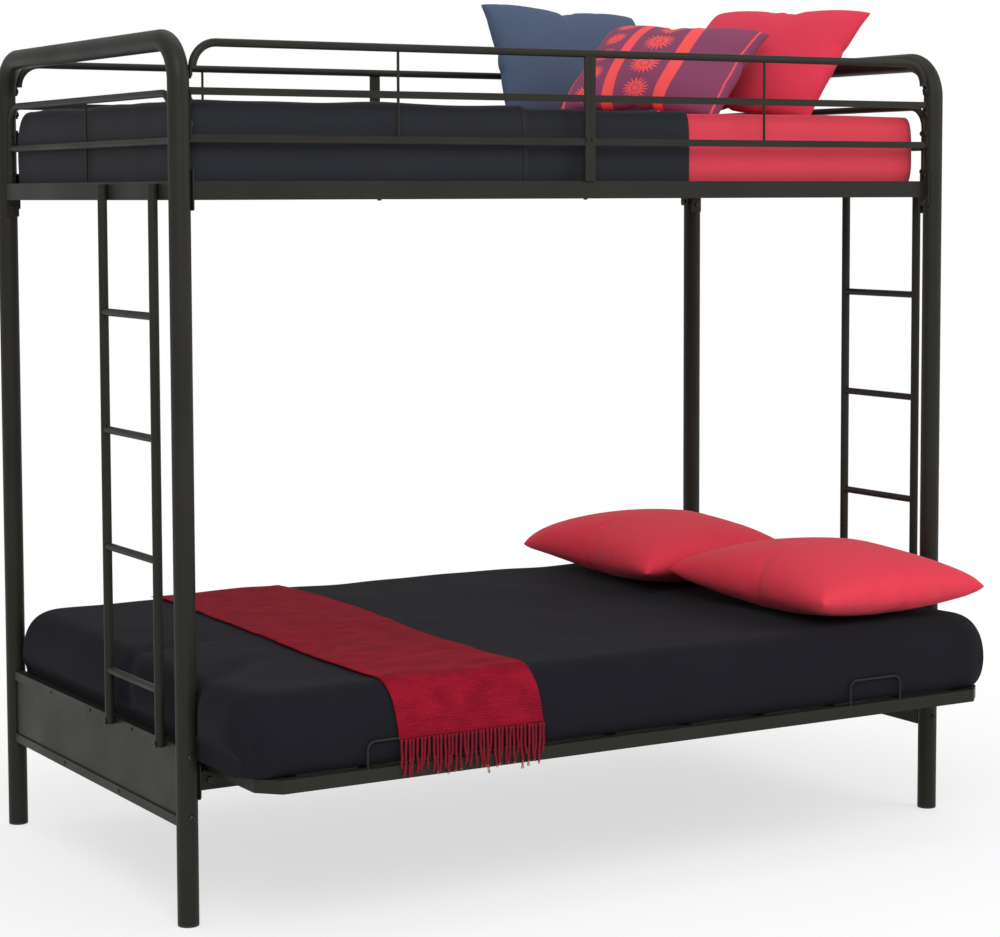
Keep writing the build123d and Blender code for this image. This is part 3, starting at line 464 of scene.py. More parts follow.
@dataclass(frozen=True)
class WovenCloth(Finish):
    """A woven cloth on its own UV map in metres: threads, slubs both ways and soft clouds of colour.

    The tone is the sum of clouds, slubs and crossing slubs, and the height is that of threads, slubs
    and crossing slubs, each times its share.
    """
    colour: Colour
    weave: Weave = Weave.PLAIN
    thread: float = 0.0011
    relief: float = 0.00022
    slub: tuple[float, float] = (25.0, 700.0)
    spread: float = 0.10
    sheen: float = 0.05
    gloss: float = 0.10
    lift: float = 1.9
    roughness: float = 0.88
    tone_shares: tuple[float, float, float] = (0.40, 0.35, 0.25)
    height_shares: tuple[float, float, float] = (1.0, 0.8, 0.6)

    def threads(self, shader: Shader) -> Socket:
        """The height of the threads: the product of two sines, or a sine along a diagonal for twill.

        Args:
            shader: the material that is being made.

        Returns:
            A socket from 0 to 1.
        """
        across, along, _ = shader.split(shader.coordinates("UV"))
        turn = math.pi / self.thread
        if self.weave is Weave.TWILL:
            return shader.lifted(shader.sine(shader.plus(across, along), turn))
        return shader.lifted(shader.times(shader.sine(across, turn), shader.sine(along, turn)))

    def paint(self, shader: Shader) -> Socket | Colour:
        """The dyed colour before slubs and clouds; a cloth without a print has one all over."""
        return self.colour

    def lay(self, shader: Shader) -> None:
        """Lays the threads, slubs and clouds over the dyed colour.

        Args:
            shader: the material that is being made.
        """
        clouds = shader.noise(shader.coordinates("UV"), scale=7.0)
        along, across = self.slub
        slubs = shader.noise(shader.coordinates("UV", (along, across, 1.0)))
        crossed = shader.noise(shader.coordinates("UV", (across, along, 1.0)))
        dyed = self.paint(shader)
        dark = shader.mix(self.spread, dyed, (0.0, 0.0, 0.0))
        light = shader.mix(self.spread, dyed, tuple(min(1.0, self.lift * value) for value in self.colour))
        tone = shader.weighted([shader.ramp(noise) for noise in (clouds, slubs, crossed)], self.tone_shares,
                               clamp=True)
        shader.put(Base_Color=shader.mix(tone, dark, light), Roughness=self.roughness,
                   Sheen_Weight=self.sheen, Sheen_Roughness=0.5, Specular_IOR_Level=self.gloss)
        shader.bump(shader.weighted((self.threads(shader), slubs, crossed), self.height_shares), self.relief)


@dataclass(frozen=True)
class PrintedCloth(WovenCloth):
    """Plum cotton printed with plain stripes and columns of round petal rosettes.

    A stripe is (middle, half width) and a column (middle, radius in metres, number of rosettes), where
    middles and widths are shares of the length. The ink of a stripe fades from stripe_edge of its half
    width. A petal is inked from hole to petal_edge, shares of its own reach, and heart is a share of
    the radius.
    """
    colour: Colour = shade(118, 56, 86)
    ink: Colour = shade(228, 76, 74)
    size: tuple[float, float] = (0.42, 0.36)
    stripes: tuple[tuple[float, float], ...] = (
        (0.02, 0.018), (0.285, 0.034), (0.625, 0.040), (0.955, 0.006))
    stripe_edge: float = 0.88
    columns: tuple[tuple[float, float, float], ...] = ((0.150, 0.030, 5.0), (0.455, 0.0385, 4.0))
    petals: float = 18.0
    petal_depth: float = 0.24
    petal_edge: tuple[float, float] = (0.90, 1.0)
    hole: tuple[float, float] = (0.36, 0.42)
    heart: tuple[float, float] = (0.20, 0.26)

    def band(self, shader: Shader, value: Socket, middle: float, half: float) -> Socket:
        """1 inside a band about the middle and 0 outside, with a soft edge."""
        away = shader.math("ABSOLUTE", shader.math("SUBTRACT", value, middle))
        return shader.ramp(away, 1.0, 0.0, half * self.stripe_edge, half)

    def rosettes(self, shader: Shader, across: Socket, along: Socket, column: float, size: float,
                 rows: float) -> Socket:
        """A column of rosettes: rays are where the radius is under R (0.76 + 0.24 cos of n turns).

        Args:
            shader: the material that is being made.
            across: share of the length.
            along: share of the height.
            column: where the column's middle is, as a share of the length.
            size: radius R of a rosette in metres.
            rows: how many of them fill the height.

        Returns:
            1 on rays and centres, 0 elsewhere.
        """
        x = shader.times(shader.math("SUBTRACT", across, column), self.size[0])
        cell = shader.math("FRACT", shader.times(along, rows))
        y = shader.times(shader.math("SUBTRACT", cell, 0.5), self.size[1] / rows)
        radius = shader.distance(x, y)
        turns = shader.math("COSINE", shader.times(shader.math("ARCTAN2", y, x), self.petals))
        reach = shader.plus(shader.times(turns, self.petal_depth), 1 - self.petal_depth)
        inside = shader.math("DIVIDE", radius, shader.times(reach, size))
        petal = shader.times(shader.ramp(inside, 1.0, 0.0, *self.petal_edge),
                             shader.ramp(inside, 0.0, 1.0, *self.hole))
        heart = shader.ramp(radius, 1.0, 0.0, *(size * share for share in self.heart))
        return shader.math("ADD", petal, heart, True)

    def paint(self, shader: Shader) -> Socket:
        """The print: stripes and columns of rosettes in one ink on the ground.

        Args:
            shader: the material that is being made.

        Returns:
            The colour.
        """
        length, height = self.size
        scaled = shader.coordinates("UV", (1 / length, 1 / height, 1.0), (0.5, 0.5, 0.0))
        across, along, _ = shader.split(scaled)
        colour: Any = self.colour
        for column, size, rows in self.columns:
            colour = shader.mix(self.rosettes(shader, across, along, column, size, rows), colour, self.ink)
        for middle, half in self.stripes:
            colour = shader.mix(self.band(shader, across, middle, half), colour, self.ink)
        return colour


@dataclass(frozen=True)
class Chenille(Finish):
    """Crimson chenille on a UV map in metres: uneven weft ribs, painted darker in their valleys as shade and
    lighter on their crests, and a pile painted with patches of sheen.

    The tone is the sum of ribs, pile and clouds, and the height is that of ribs and pile, each times
    its share. The ribs run across the sheet and wander along it.
    """
    # Deep is the dye's dark end and the painted shade of the rib valleys; bright is its light end and the
    # painted highlight of the crests and the pile.
    deep_dye_and_shade: Colour = shade(96, 9, 25)
    bright_dye_and_highlight: Colour = shade(154, 26, 45)
    rib: float = 0.0052
    wander: float = 0.0088
    relief: float = 0.0007
    tone_shares: tuple[float, float, float] = (0.16, 0.54, 0.30)
    height_shares: tuple[float, float] = (1.0, 0.9)

    def lay(self, shader: Shader) -> None:
        """Lays the ribs, the pile and the clouds.

        Args:
            shader: the material that is being made.
        """
        _, along, _ = shader.split(shader.coordinates("UV"))
        drift = shader.noise(shader.coordinates("UV", (18.0, 90.0, 1.0)))
        pile = shader.noise(shader.coordinates("UV", (420.0, 260.0, 1.0)), detail=4.0, rough=0.65)
        clouds = shader.noise(shader.coordinates("UV", (14.0, 22.0, 1.0)), detail=4.0, rough=0.6)
        moved = shader.plus(along, shader.times(drift, self.wander))
        ribs = shader.lifted(shader.sine(moved, 2 * math.pi / self.rib))
        # Colour follows the ribs and the pile as painted shade, highlight and sheen, and the clouds as the
        # dye's own unevenness.
        uneven = (ribs, shader.ramp(pile), shader.ramp(clouds, start=0.35, end=0.65))
        tone = shader.weighted(uneven, self.tone_shares, clamp=True)
        shader.put(Base_Color=shader.mix(tone, self.deep_dye_and_shade, self.bright_dye_and_highlight), Roughness=0.9,
                   Sheen_Weight=0.02, Sheen_Roughness=0.4, Specular_IOR_Level=0.03)
        shader.bump(shader.weighted((ribs, pile), self.height_shares), self.relief)


@dataclass(frozen=True)
class TwistedYarn(Finish):
    """Fringe yarn: crimson, some of it with natural beige ends, with fine twist across each strand."""
    colour: Colour = shade(128, 20, 38)
    spread: float = 0.3
    tip: Colour = shade(196, 168, 128)
    relief: float = 0.0003

    def lay(self, shader: Shader) -> None:
        """Lays the yarn's colours; the share of beige is the attribute "ends".

        Args:
            shader: the material that is being made.
        """
        fine = shader.noise(shader.coordinates("Object"), scale=900.0)
        ends = shader.node("ShaderNodeAttribute", attribute_name="ends")
        beige = shader.ramp(ends.outputs["Fac"], start=0.45, end=0.7)
        shader.put(Base_Color=shader.mix(beige, shader.varied(self.colour, fine, self.spread), self.tip),
                   Roughness=0.85, Sheen_Weight=0.06, Specular_IOR_Level=0.1)
        shader.bump(fine, self.relief)


@dataclass(frozen=True)
class StudioFloor(Finish):
    """Pale matt floor that keeps the shadow and runs out into the white backdrop.

    Camera and mirror rays see it mixed with plain white: white_near of it within the radius near, and
    all of it from the radius far.
    """
    colour: Colour = (0.88, 0.88, 0.88)
    white_near: float = 0.66
    near: float = 1.0
    far: float = 2.6

    def lay(self, shader: Shader) -> None:
        """Lays the matt floor and mixes plain white into what is seen of it.

        Args:
            shader: the material that is being made.
        """
        shader.put(Base_Color=self.colour, Roughness=1.0, Specular_IOR_Level=0.0)
        x, y, _ = shader.split(shader.coordinates("Object"))
        whiteness = shader.ramp(shader.distance(x, y), self.white_near, 1.0, self.near, self.far)
        white = shader.node("ShaderNodeEmission")
        both = shader.node("ShaderNodeMixShader")
        shader.feed(both.inputs[0], shader.times(self.seen(shader), whiteness))
        shader.feed(both.inputs[1], shader.surface.outputs[0])
        shader.feed(both.inputs[2], white.outputs[0])
        shader.feed(shader.output.inputs["Surface"], both.outputs[0])

    @staticmethod
    def seen(shader: Shader) -> Socket:
        """1 for camera, glossy and transmission rays, and 0 for those that carry light to the bed.

        Args:
            shader: the material that is being made.

        Returns:
            The switch.
        """
        path = shader.node("ShaderNodeLightPath")
        total: Any = 0.0
        for ray in ("Camera", "Glossy", "Transmission"):
            total = shader.math("ADD", total, path.outputs[f"Is {ray} Ray"], True)
        return total


# Meshes

def share_between(value: Array, start: Array | float, end: float) -> Array:
    """How far a value has come from start to end: (value - start) / (end - start), kept from 0 to 1."""
    return np.clip((value - start) / (end - start), 0, 1)


def eased(value: Array, start: float, end: float) -> Array:
    """That share t made smooth at both ends: t squared (3 - 2 t)."""
    share = share_between(value, start, end)
    return share ** 2 * (3 - 2 * share)


def round_edge(share: Array, least: float) -> Array:
    """The thickness near a round edge, as a share of the full one: the root of 1 - (1 - t) squared."""
    return np.sqrt(np.clip(1 - (1 - share) ** 2, least, 1))


def quads(rows: int, columns: int, start: int = 0, closed: bool = False) -> Array:
    """The four-cornered faces of a grid of points, counted row by row.

    Args:
        rows: points along the first parameter.
        columns: points along the second.
        start: the number of the grid's first point.
        closed: whether the last column joins the first.

    Returns:
        An array of faces, which look along first × second parameter.
    """
    row = np.arange(rows - 1)[:, None]
    column = np.arange(columns if closed else columns - 1)[None, :]
    after = (column + 1) % columns
    corners = [row * columns + column, (row + 1) * columns + column,
               (row + 1) * columns + after, row * columns + after]
    return start + np.stack(np.broadcast_arrays(*corners), -1).reshape(-1, 4)


@dataclass
class Patch:
    """Points, four-cornered faces and a UV place for each point."""
    points: Array
    faces: Array
    uv: Array

    def joined(self, other: "Patch") -> "Patch":
        """This patch and another in one, each still with its own points."""
        faces = np.vstack([self.faces, other.faces + len(self.points)])
        return Patch(np.vstack([self.points, other.points]), faces, np.vstack([self.uv, other.uv]))

    def flipped(self) -> "Patch":
        """The same patch with its faces looking the other way."""
        return Patch(self.points, self.faces[:, ::-1], self.uv)

    def build(self, name: str, weld: float = 1e-5) -> bpy.types.Object:
        """Makes the mesh object.

        Args:
            name: the piece's name.
            weld: points closer than this become one.

        Returns:
            The object, with smooth faces and a UV map.
        """
        mesh = bpy.data.meshes.new(name)
        mesh.vertices.add(len(self.points))
        mesh.vertices.foreach_set("co", self.points.astype(np.float32).ravel())
        mesh.loops.add(self.faces.size)
        mesh.loops.foreach_set("vertex_index", self.faces.astype(np.int32).ravel())
        mesh.polygons.add(len(self.faces))
        mesh.polygons.foreach_set("loop_start", np.arange(0, self.faces.size, 4, dtype=np.int32))
        mesh.update(calc_edges=True)
        layer = mesh.uv_layers.new(name="Cloth")
        layer.data.foreach_set("uv", self.uv[self.faces.ravel()].astype(np.float32).ravel())
        if weld:
            shape = bmesh.new()
            shape.from_mesh(mesh)
            bmesh.ops.remove_doubles(shape, verts=shape.verts, dist=weld)
            bmesh.ops.dissolve_degenerate(shape, edges=shape.edges, dist=TINY)
            shape.to_mesh(mesh)
            shape.free()
        mesh.validate()
        mesh.polygons.foreach_set("use_smooth", np.ones(len(mesh.polygons), bool))
        made = bpy.data.objects.new(name, mesh)
        bpy.context.scene.collection.objects.link(made)
        return made


def grid_patch(points: Array, uv: Array, closed: bool = False) -> Patch:
    """A patch over a grid of points of shape (rows, columns, 3)."""
    rows, columns = points.shape[:2]
    return Patch(points.reshape(-1, 3), quads(rows, columns, closed=closed), uv.reshape(-1, 2))


def shell(outer: Array, inner: Array, uv: Array) -> Patch:
    """A closed sheet between two grids of the same shape: both faces and the strip round the edge.

    Args:
        outer: the grid that faces out, of shape (rows, columns, 3).
        inner: the grid that faces in.
        uv: a place on the cloth for each point of one grid.

    Returns:
        The sheet.
    """
    rows, columns = outer.shape[:2]
    index = np.arange(rows * columns).reshape(rows, columns)
    edge = np.concatenate([index[0, :-1], index[:-1, -1], index[-1, :0:-1], index[:0:-1, 0]])
    after = np.roll(edge, -1)
    count = rows * columns
    rim = np.stack([edge, edge + count, after + count, after], -1)
    faces = np.vstack([quads(rows, columns), quads(rows, columns, count)[:, ::-1], rim[:, ::-1]])
    return Patch(np.vstack([outer.reshape(-1, 3), inner.reshape(-1, 3)]), faces,
                 np.vstack([uv.reshape(-1, 2)] * 2))


def places(mesh: bpy.types.Mesh) -> Array:
    """The points of a mesh.

    Args:
        mesh: the mesh.

    Returns:
        An array of shape (count, 3).
    """
    flat = np.empty(len(mesh.vertices) * 3, np.float32)
    mesh.vertices.foreach_get("co", flat)
    return flat.reshape(-1, 3)


def smoothed(piece: bpy.types.Object, levels: int) -> None:
    """Subdivides a piece and keeps the result as its mesh.

    Args:
        piece: the piece.
        levels: how often each face is split in four.
    """
    smoother = piece.modifiers.new("smoother", "SUBSURF")
    smoother.levels = smoother.render_levels = levels
    graph = bpy.context.evaluated_depsgraph_get()
    mesh = bpy.data.meshes.new_from_object(piece.evaluated_get(graph))
    piece.modifiers.clear()
    piece.data = mesh
    mesh.polygons.foreach_set("use_smooth", np.ones(len(mesh.polygons), bool))


def dress(piece: bpy.types.Object, material: bpy.types.Material) -> None:
    """Gives a piece one finish."""
    piece.data.materials.clear()
    piece.data.materials.append(material)


def report(piece: bpy.types.Object, words: str) -> None:
    """Writes a line about a finished piece."""
    log.info("%s: %s, %d faces", piece.name, words, len(piece.data.polygons))


@dataclass(frozen=True)
class Datum:
    """Moves points from the middle of the posts to the frame's own Y."""
    middle_y: float

    def place(self, points: Array) -> Array:
        """The same points in the frame."""
        return points + np.array([0.0, self.middle_y, 0.0])

    def point(self, x: float, y: float, z: float) -> tuple[float, float, float]:
        """One point in the frame."""
        return (x, y + self.middle_y, z)


@dataclass(frozen=True)
class Relief:
    """Soft unevenness of stuffed cloth: a seeded sum of cosines whose rms is the height."""
    seed: int
    height: float
    shortest: float
    longest: float
    waves: int = 28

    def at(self, points: Array) -> Array:
        """The sum of cos(2 pi direction . point / length + phase), scaled to the height.

        Args:
            points: places of shape (..., 3).

        Returns:
            How far the cloth stands out at each.
        """
        random = np.random.default_rng(self.seed)
        lengths = random.uniform(self.shortest, self.longest, self.waves)
        directions = random.normal(size=(self.waves, 3))
        directions /= np.linalg.norm(directions, axis=1)[:, None] * lengths[:, None]
        phases = random.uniform(0, 2 * math.pi, self.waves)
        total = np.cos(2 * math.pi * points @ directions.T + phases).sum(-1)
        return self.height * total / math.sqrt(self.waves / 2)


@dataclass(frozen=True)
class Crease:
    """A valley along a line: depth times exp(-(distance / width) squared / 2)."""
    path: tuple[tuple[float, float, float], ...]
    depths: tuple[float, ...]
    width: float

    def at(self, points: Array) -> Array:
        """How far the valley draws each point in; its depth runs evenly between the corners.

        Args:
            points: places of shape (..., 3).

        Returns:
            The depth at each, which is the deepest of the stretches' own.
        """
        deepest = np.zeros(points.shape[:-1])
        corners = np.array(self.path)
        for start, end, low, high in zip(corners[:-1], corners[1:], self.depths[:-1], self.depths[1:]):
            run = end - start
            share = np.clip((points - start) @ run / (run @ run), 0, 1)
            apart = points - (start + share[..., None] * run)
            away = (apart ** 2).sum(-1) / self.width ** 2
            deepest = np.maximum(deepest, (low + (high - low) * share) * np.exp(-away / 2))
        return deepest


@dataclass(frozen=True)
class PadForm:
    """A stuffed pad on a rounded outline: widest at its rim, rolling in above and below it.

    Over the flat part a point of the unit square goes to the same share of the outline. Past it
    the outline is drawn in by inset (1 - sin t to the 2/n) at a height rise (cos t to the 2/n).
    Unevenness of the underside fades in over the roll, from firm_from of the way out to the rim.
    """
    half_x: float
    half_y: float
    corner_r: float
    low: float
    rim: float
    top: float
    top_inset: float
    top_power: float
    low_inset: float
    low_power: float
    middle: tuple[float, float] = (0.0, 0.0)
    flat: float = 0.88
    firm_from: float = 0.375
    sharpest: float = 0.004

    def outline(self, a: Array, b: Array, inset: Array | float) -> tuple[Array, Array]:
        """The rounded outline, drawn in by the inset, where the ray to (a, b) meets it.

        Each side of the square is the straight run and then 45 degrees of the corner's arc.

        Args:
            a: first coordinate on the square.
            b: second coordinate on the square.
            inset: how far the outline is drawn in.

        Returns:
            The points and their outward directions, each of shape (..., 2).
        """
        size = np.maximum(np.maximum(np.abs(a), np.abs(b)), TINY)
        long_side = np.abs(a) <= np.abs(b)
        along, out = np.where(long_side, a, b) / size, np.where(long_side, b, a)
        radius = np.maximum(self.corner_r - inset / 2, self.sharpest)
        straight = np.where(long_side, self.half_x, self.half_y) - inset - radius
        split = straight / (straight + radius * math.pi / 4)
        turn = share_between(np.abs(along), split, 1.0) * math.pi / 4
        run = np.where(turn > 0, straight + radius * np.sin(turn), np.abs(along) / split * straight)
        reach = np.where(long_side, self.half_y, self.half_x) - inset - radius * (1 - np.cos(turn))
        run, lean = np.sign(along) * run, np.sign(along) * np.sin(turn)
        reach, face = np.sign(out) * reach, np.sign(out) * np.cos(turn)
        points = np.stack([np.where(long_side, run, reach), np.where(long_side, reach, run)], -1)
        normals = np.stack([np.where(long_side, lean, face), np.where(long_side, face, lean)], -1)
        return points, normals

    @staticmethod
    def roll(angle: Array, inset: float, rise: float, power: float) -> tuple[Array, Array]:
        """The roll's inset (1 - sin t to the 2/n), and its height, rise (cos t to the 2/n)."""
        return inset * (1 - np.sin(angle) ** (2 / power)), rise * np.clip(np.cos(angle), 0, 1) ** (2 / power)

    def half(self, a: Array, b: Array, upper: bool) -> tuple[Array, Array, Array]:
        """The upper or lower half of the pad over the square.

        Args:
            a: first coordinate on the square.
            b: second coordinate on the square.
            upper: which half.

        Returns:
            Points and outward directions of shape (..., 3), and UV places in metres, which run on over
            the roll by the arc of a circle whose radius is the mean of inset and rise.
        """
        size = np.maximum(np.abs(a), np.abs(b))
        angle = share_between(size, self.flat, 1.0) * math.pi / 2
        inset_to, power = (self.top_inset, self.top_power) if upper else (self.low_inset, self.low_power)
        rise_to = (self.top if upper else self.low) - self.rim
        inset, rise = self.roll(angle, inset_to, rise_to, power)
        flat, normals = self.outline(a, b, inset)
        flat = flat * np.minimum(size / self.flat, 1.0)[..., None]
        points = np.concatenate([flat + np.array(self.middle), (self.rim + rise)[..., None]], -1)
        level = np.cos(angle)[..., None] * (1 if upper else -1)
        directions = np.concatenate([normals * np.sin(angle)[..., None], level], -1)
        girth = angle / 2 * (inset_to + abs(rise_to))
        return points, directions, flat + normals * girth[..., None]

    def square(self, across: int, along: int, edge: int) -> tuple[Array, Array]:
        """Coordinates of a grid on the square, with closer rows in the rolled edge.

        Args:
            across: points over the flat part along the first axis.
            along: points over it along the second.
            edge: steps in each roll.

        Returns:
            Both coordinates, each of shape (rows, columns).
        """
        def line(count: int) -> Array:
            """One side's values from -1 to 1."""
            rolled = np.linspace(self.flat, 1.0, edge + 1)
            return np.concatenate([-rolled[::-1], np.linspace(-self.flat, self.flat, count)[1:-1], rolled])
        return np.meshgrid(line(across), line(along), indexing="ij")

    def pad(self, grid: tuple[int, int, int], fade: float, moved: Callable[[Array, Array, Array], Array],
            datum: Datum) -> Patch:
        """The upper and lower half in one patch.

        Args:
            grid: points over the flat part each way, and steps in each roll.
            fade: power of the fading on the underside.
            moved: gives the moved points from points, outward directions and firmness (0 to 1).
            datum: the frame's place.

        Returns:
            The patch, with its faces looking out.
        """
        a, b = self.square(*grid)
        size = np.maximum(np.abs(a), np.abs(b))
        under = share_between(share_between(size, self.flat, 1.0), self.firm_from, 1.0) ** fade
        halves = []
        for upper in (True, False):
            points, directions, uv = self.half(a, b, upper)
            firm = np.ones_like(size) if upper else under
            patch = grid_patch(datum.place(moved(points, directions, firm)), uv)
            halves.append(patch if upper else patch.flipped())
        return halves[0].joined(halves[1])


# Steel, fasteners and nylon

@dataclass
class Framework:
    """The steel bed as packed: its shapes stay, and each node gets its slot's finish."""
    finishes: dict[str, Finish] = field(default_factory=lambda: {
        "frame_steel": PowderCoat(), "bolt_steel": BlackOxide(), "nylon": MouldedNylon()})

    def dress(self, frame: dict[str, Any]) -> int:
        """Dresses every metal and nylon node.


        Returns:
            How many nodes were dressed.
        """
        made = {slot: finish.build(slot) for slot, finish in self.finishes.items()}
        count = 0
        for row in frame["record"]["subparts"]:
            slot = row["material_slot"]
            if slot in made:
                dress(frame["nodes"][row["node"]], made[slot])
                count += 1
        return count


# Futon mattress, throw and fringe

@dataclass
class Futon:
    """The futon mattress in one piece.

    It is rear_rise thicker at the wall than in front, and rising gives the places in Y between which
    it gets thicker. The sides may reach between_panels to each side of the middle low down, and
    past_panels further above the heights over_panels.
    """
    form: PadForm = PadForm(half_x=0.964, half_y=0.627, corner_r=0.078, low=0.3403, rim=0.4060, top=0.505,
                            top_inset=0.066, top_power=2.3, low_inset=0.024, low_power=2.4,
                            middle=(-0.009, -0.128), flat=0.90)
    grid: tuple[int, int, int] = (216, 148, 17)
    rear_rise: float = 0.007
    rising: tuple[float, float] = (-0.30, 0.40)
    between_panels: float = 0.9515
    past_panels: float = 0.03
    over_panels: tuple[float, float] = (0.371, 0.426)
    relief: Relief = Relief(seed=7, height=0.0017, shortest=0.16, longest=0.62)
    fold_y: float = -0.144
    fold_z: float = 0.328
    fold_reach: float = 0.165
    creases: tuple[Crease, ...] = (
        Crease(((-0.690, -0.330, 0.505), (-0.790, -0.390, 0.505), (-0.890, -0.480, 0.500),
                (-0.950, -0.502, 0.465), (-0.968, -0.502, 0.420), (-0.966, -0.502, 0.345)),
               (0.0, 0.006, 0.014, 0.024, 0.031, 0.026), 0.026),
        Crease(((0.780, -0.430, 0.505), (0.880, -0.490, 0.502), (0.936, -0.500, 0.465),
                (0.952, -0.500, 0.420), (0.950, -0.500, 0.345)), (0.0, 0.008, 0.013, 0.017, 0.014), 0.024),
        Crease(((-0.680, -0.080, 0.505), (-0.860, -0.110, 0.503), (-0.950, -0.165, 0.460),
                (-0.968, -0.175, 0.410), (-0.966, -0.175, 0.350)), (0.0, 0.009, 0.014, 0.015, 0.008), 0.024),
        Crease(((0.680, -0.120, 0.505), (0.880, -0.150, 0.500), (0.950, -0.150, 0.430),
                (0.950, -0.150, 0.350)), (0.0, 0.009, 0.011, 0.006), 0.020),
        Crease(((-0.900, -0.700, 0.478), (-0.924, -0.734, 0.440), (-0.928, -0.741, 0.405),
                (-0.922, -0.735, 0.345)), (0.002, 0.009, 0.014, 0.015), 0.007),
        Crease(((0.884, -0.700, 0.478), (0.908, -0.734, 0.440), (0.912, -0.741, 0.405),
                (0.906, -0.735, 0.345)), (0.002, 0.009, 0.014, 0.015), 0.007),
        Crease(((-0.900, -0.725, 0.475), (-0.500, -0.727, 0.476), (0.300, -0.726, 0.476),
                (0.884, -0.725, 0.475)), (0.002, 0.0035, 0.003, 0.002), 0.007),
        Crease(((-0.60, -0.742, 0.360), (-0.30, -0.744, 0.352), (0.05, -0.742, 0.358)),
               (0.0, 0.003, 0.0), 0.010),
    )
    cloth: WovenCloth = WovenCloth(shade(26, 26, 32), Weave.TWILL, thread=0.0014, relief=0.00022,
                                   slub=(18.0, 520.0), spread=0.07, sheen=0.02, gloss=0.05)

    def rise(self, y: Array) -> Array:
        """How much thicker the mattress is towards the wall."""
        return self.rear_rise * eased(y, *self.rising)

    def surface(self, points: Array, directions: Array, firm: Array | float) -> Array:
        """Points moved by the soft relief and the creases, and held between the end panels low down.

        From the rim to the top, a point takes on more and more of the rise towards the wall.

        Args:
            points: the plain form.
            directions: outward directions.
            firm: how much of the movement each point takes, from 0 to 1.

        Returns:
            The moved points.
        """
        shift = self.relief.at(points)
        for crease in self.creases:
            shift = shift - crease.at(points)
        moved = points + directions * (shift * firm)[..., None]
        limit = self.between_panels + self.past_panels * eased(moved[..., 2], *self.over_panels)
        moved[..., 0] = np.clip(moved[..., 0], -limit, limit)
        moved[..., 2] = np.maximum(moved[..., 2], self.form.low)
        level = share_between(moved[..., 2], self.form.rim, self.form.top)
        moved[..., 2] += self.rise(moved[..., 1]) * level
        return moved

    def bend(self, piece: bpy.types.Object, datum: Datum) -> None:
        """Bakes a piece's place into its mesh; the points before and behind the fold are worked out but not
        used.
        """
        start, end = (datum.point(0, self.fold_y + reach, self.fold_z)
                      for reach in (-self.fold_reach, self.fold_reach))
        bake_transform(piece)
        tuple(start)
        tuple(end)

    def build(self, datum: Datum) -> bpy.types.Object:
        """Makes the mattress.

        Args:
            datum: the frame's place.

        Returns:
            The mattress.
        """
        pad = self.form.pad(self.grid, fade=1.5, moved=self.surface, datum=datum)
        piece = pad.build("futon_mattress")
        dress(piece, self.cloth.build("futon_cloth"))
        self.bend(piece, datum)
        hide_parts("futon_mattress_seat", "futon_mattress_back", "futon_mattress_fold")
        report(piece, "mattress that folds")
        return piece


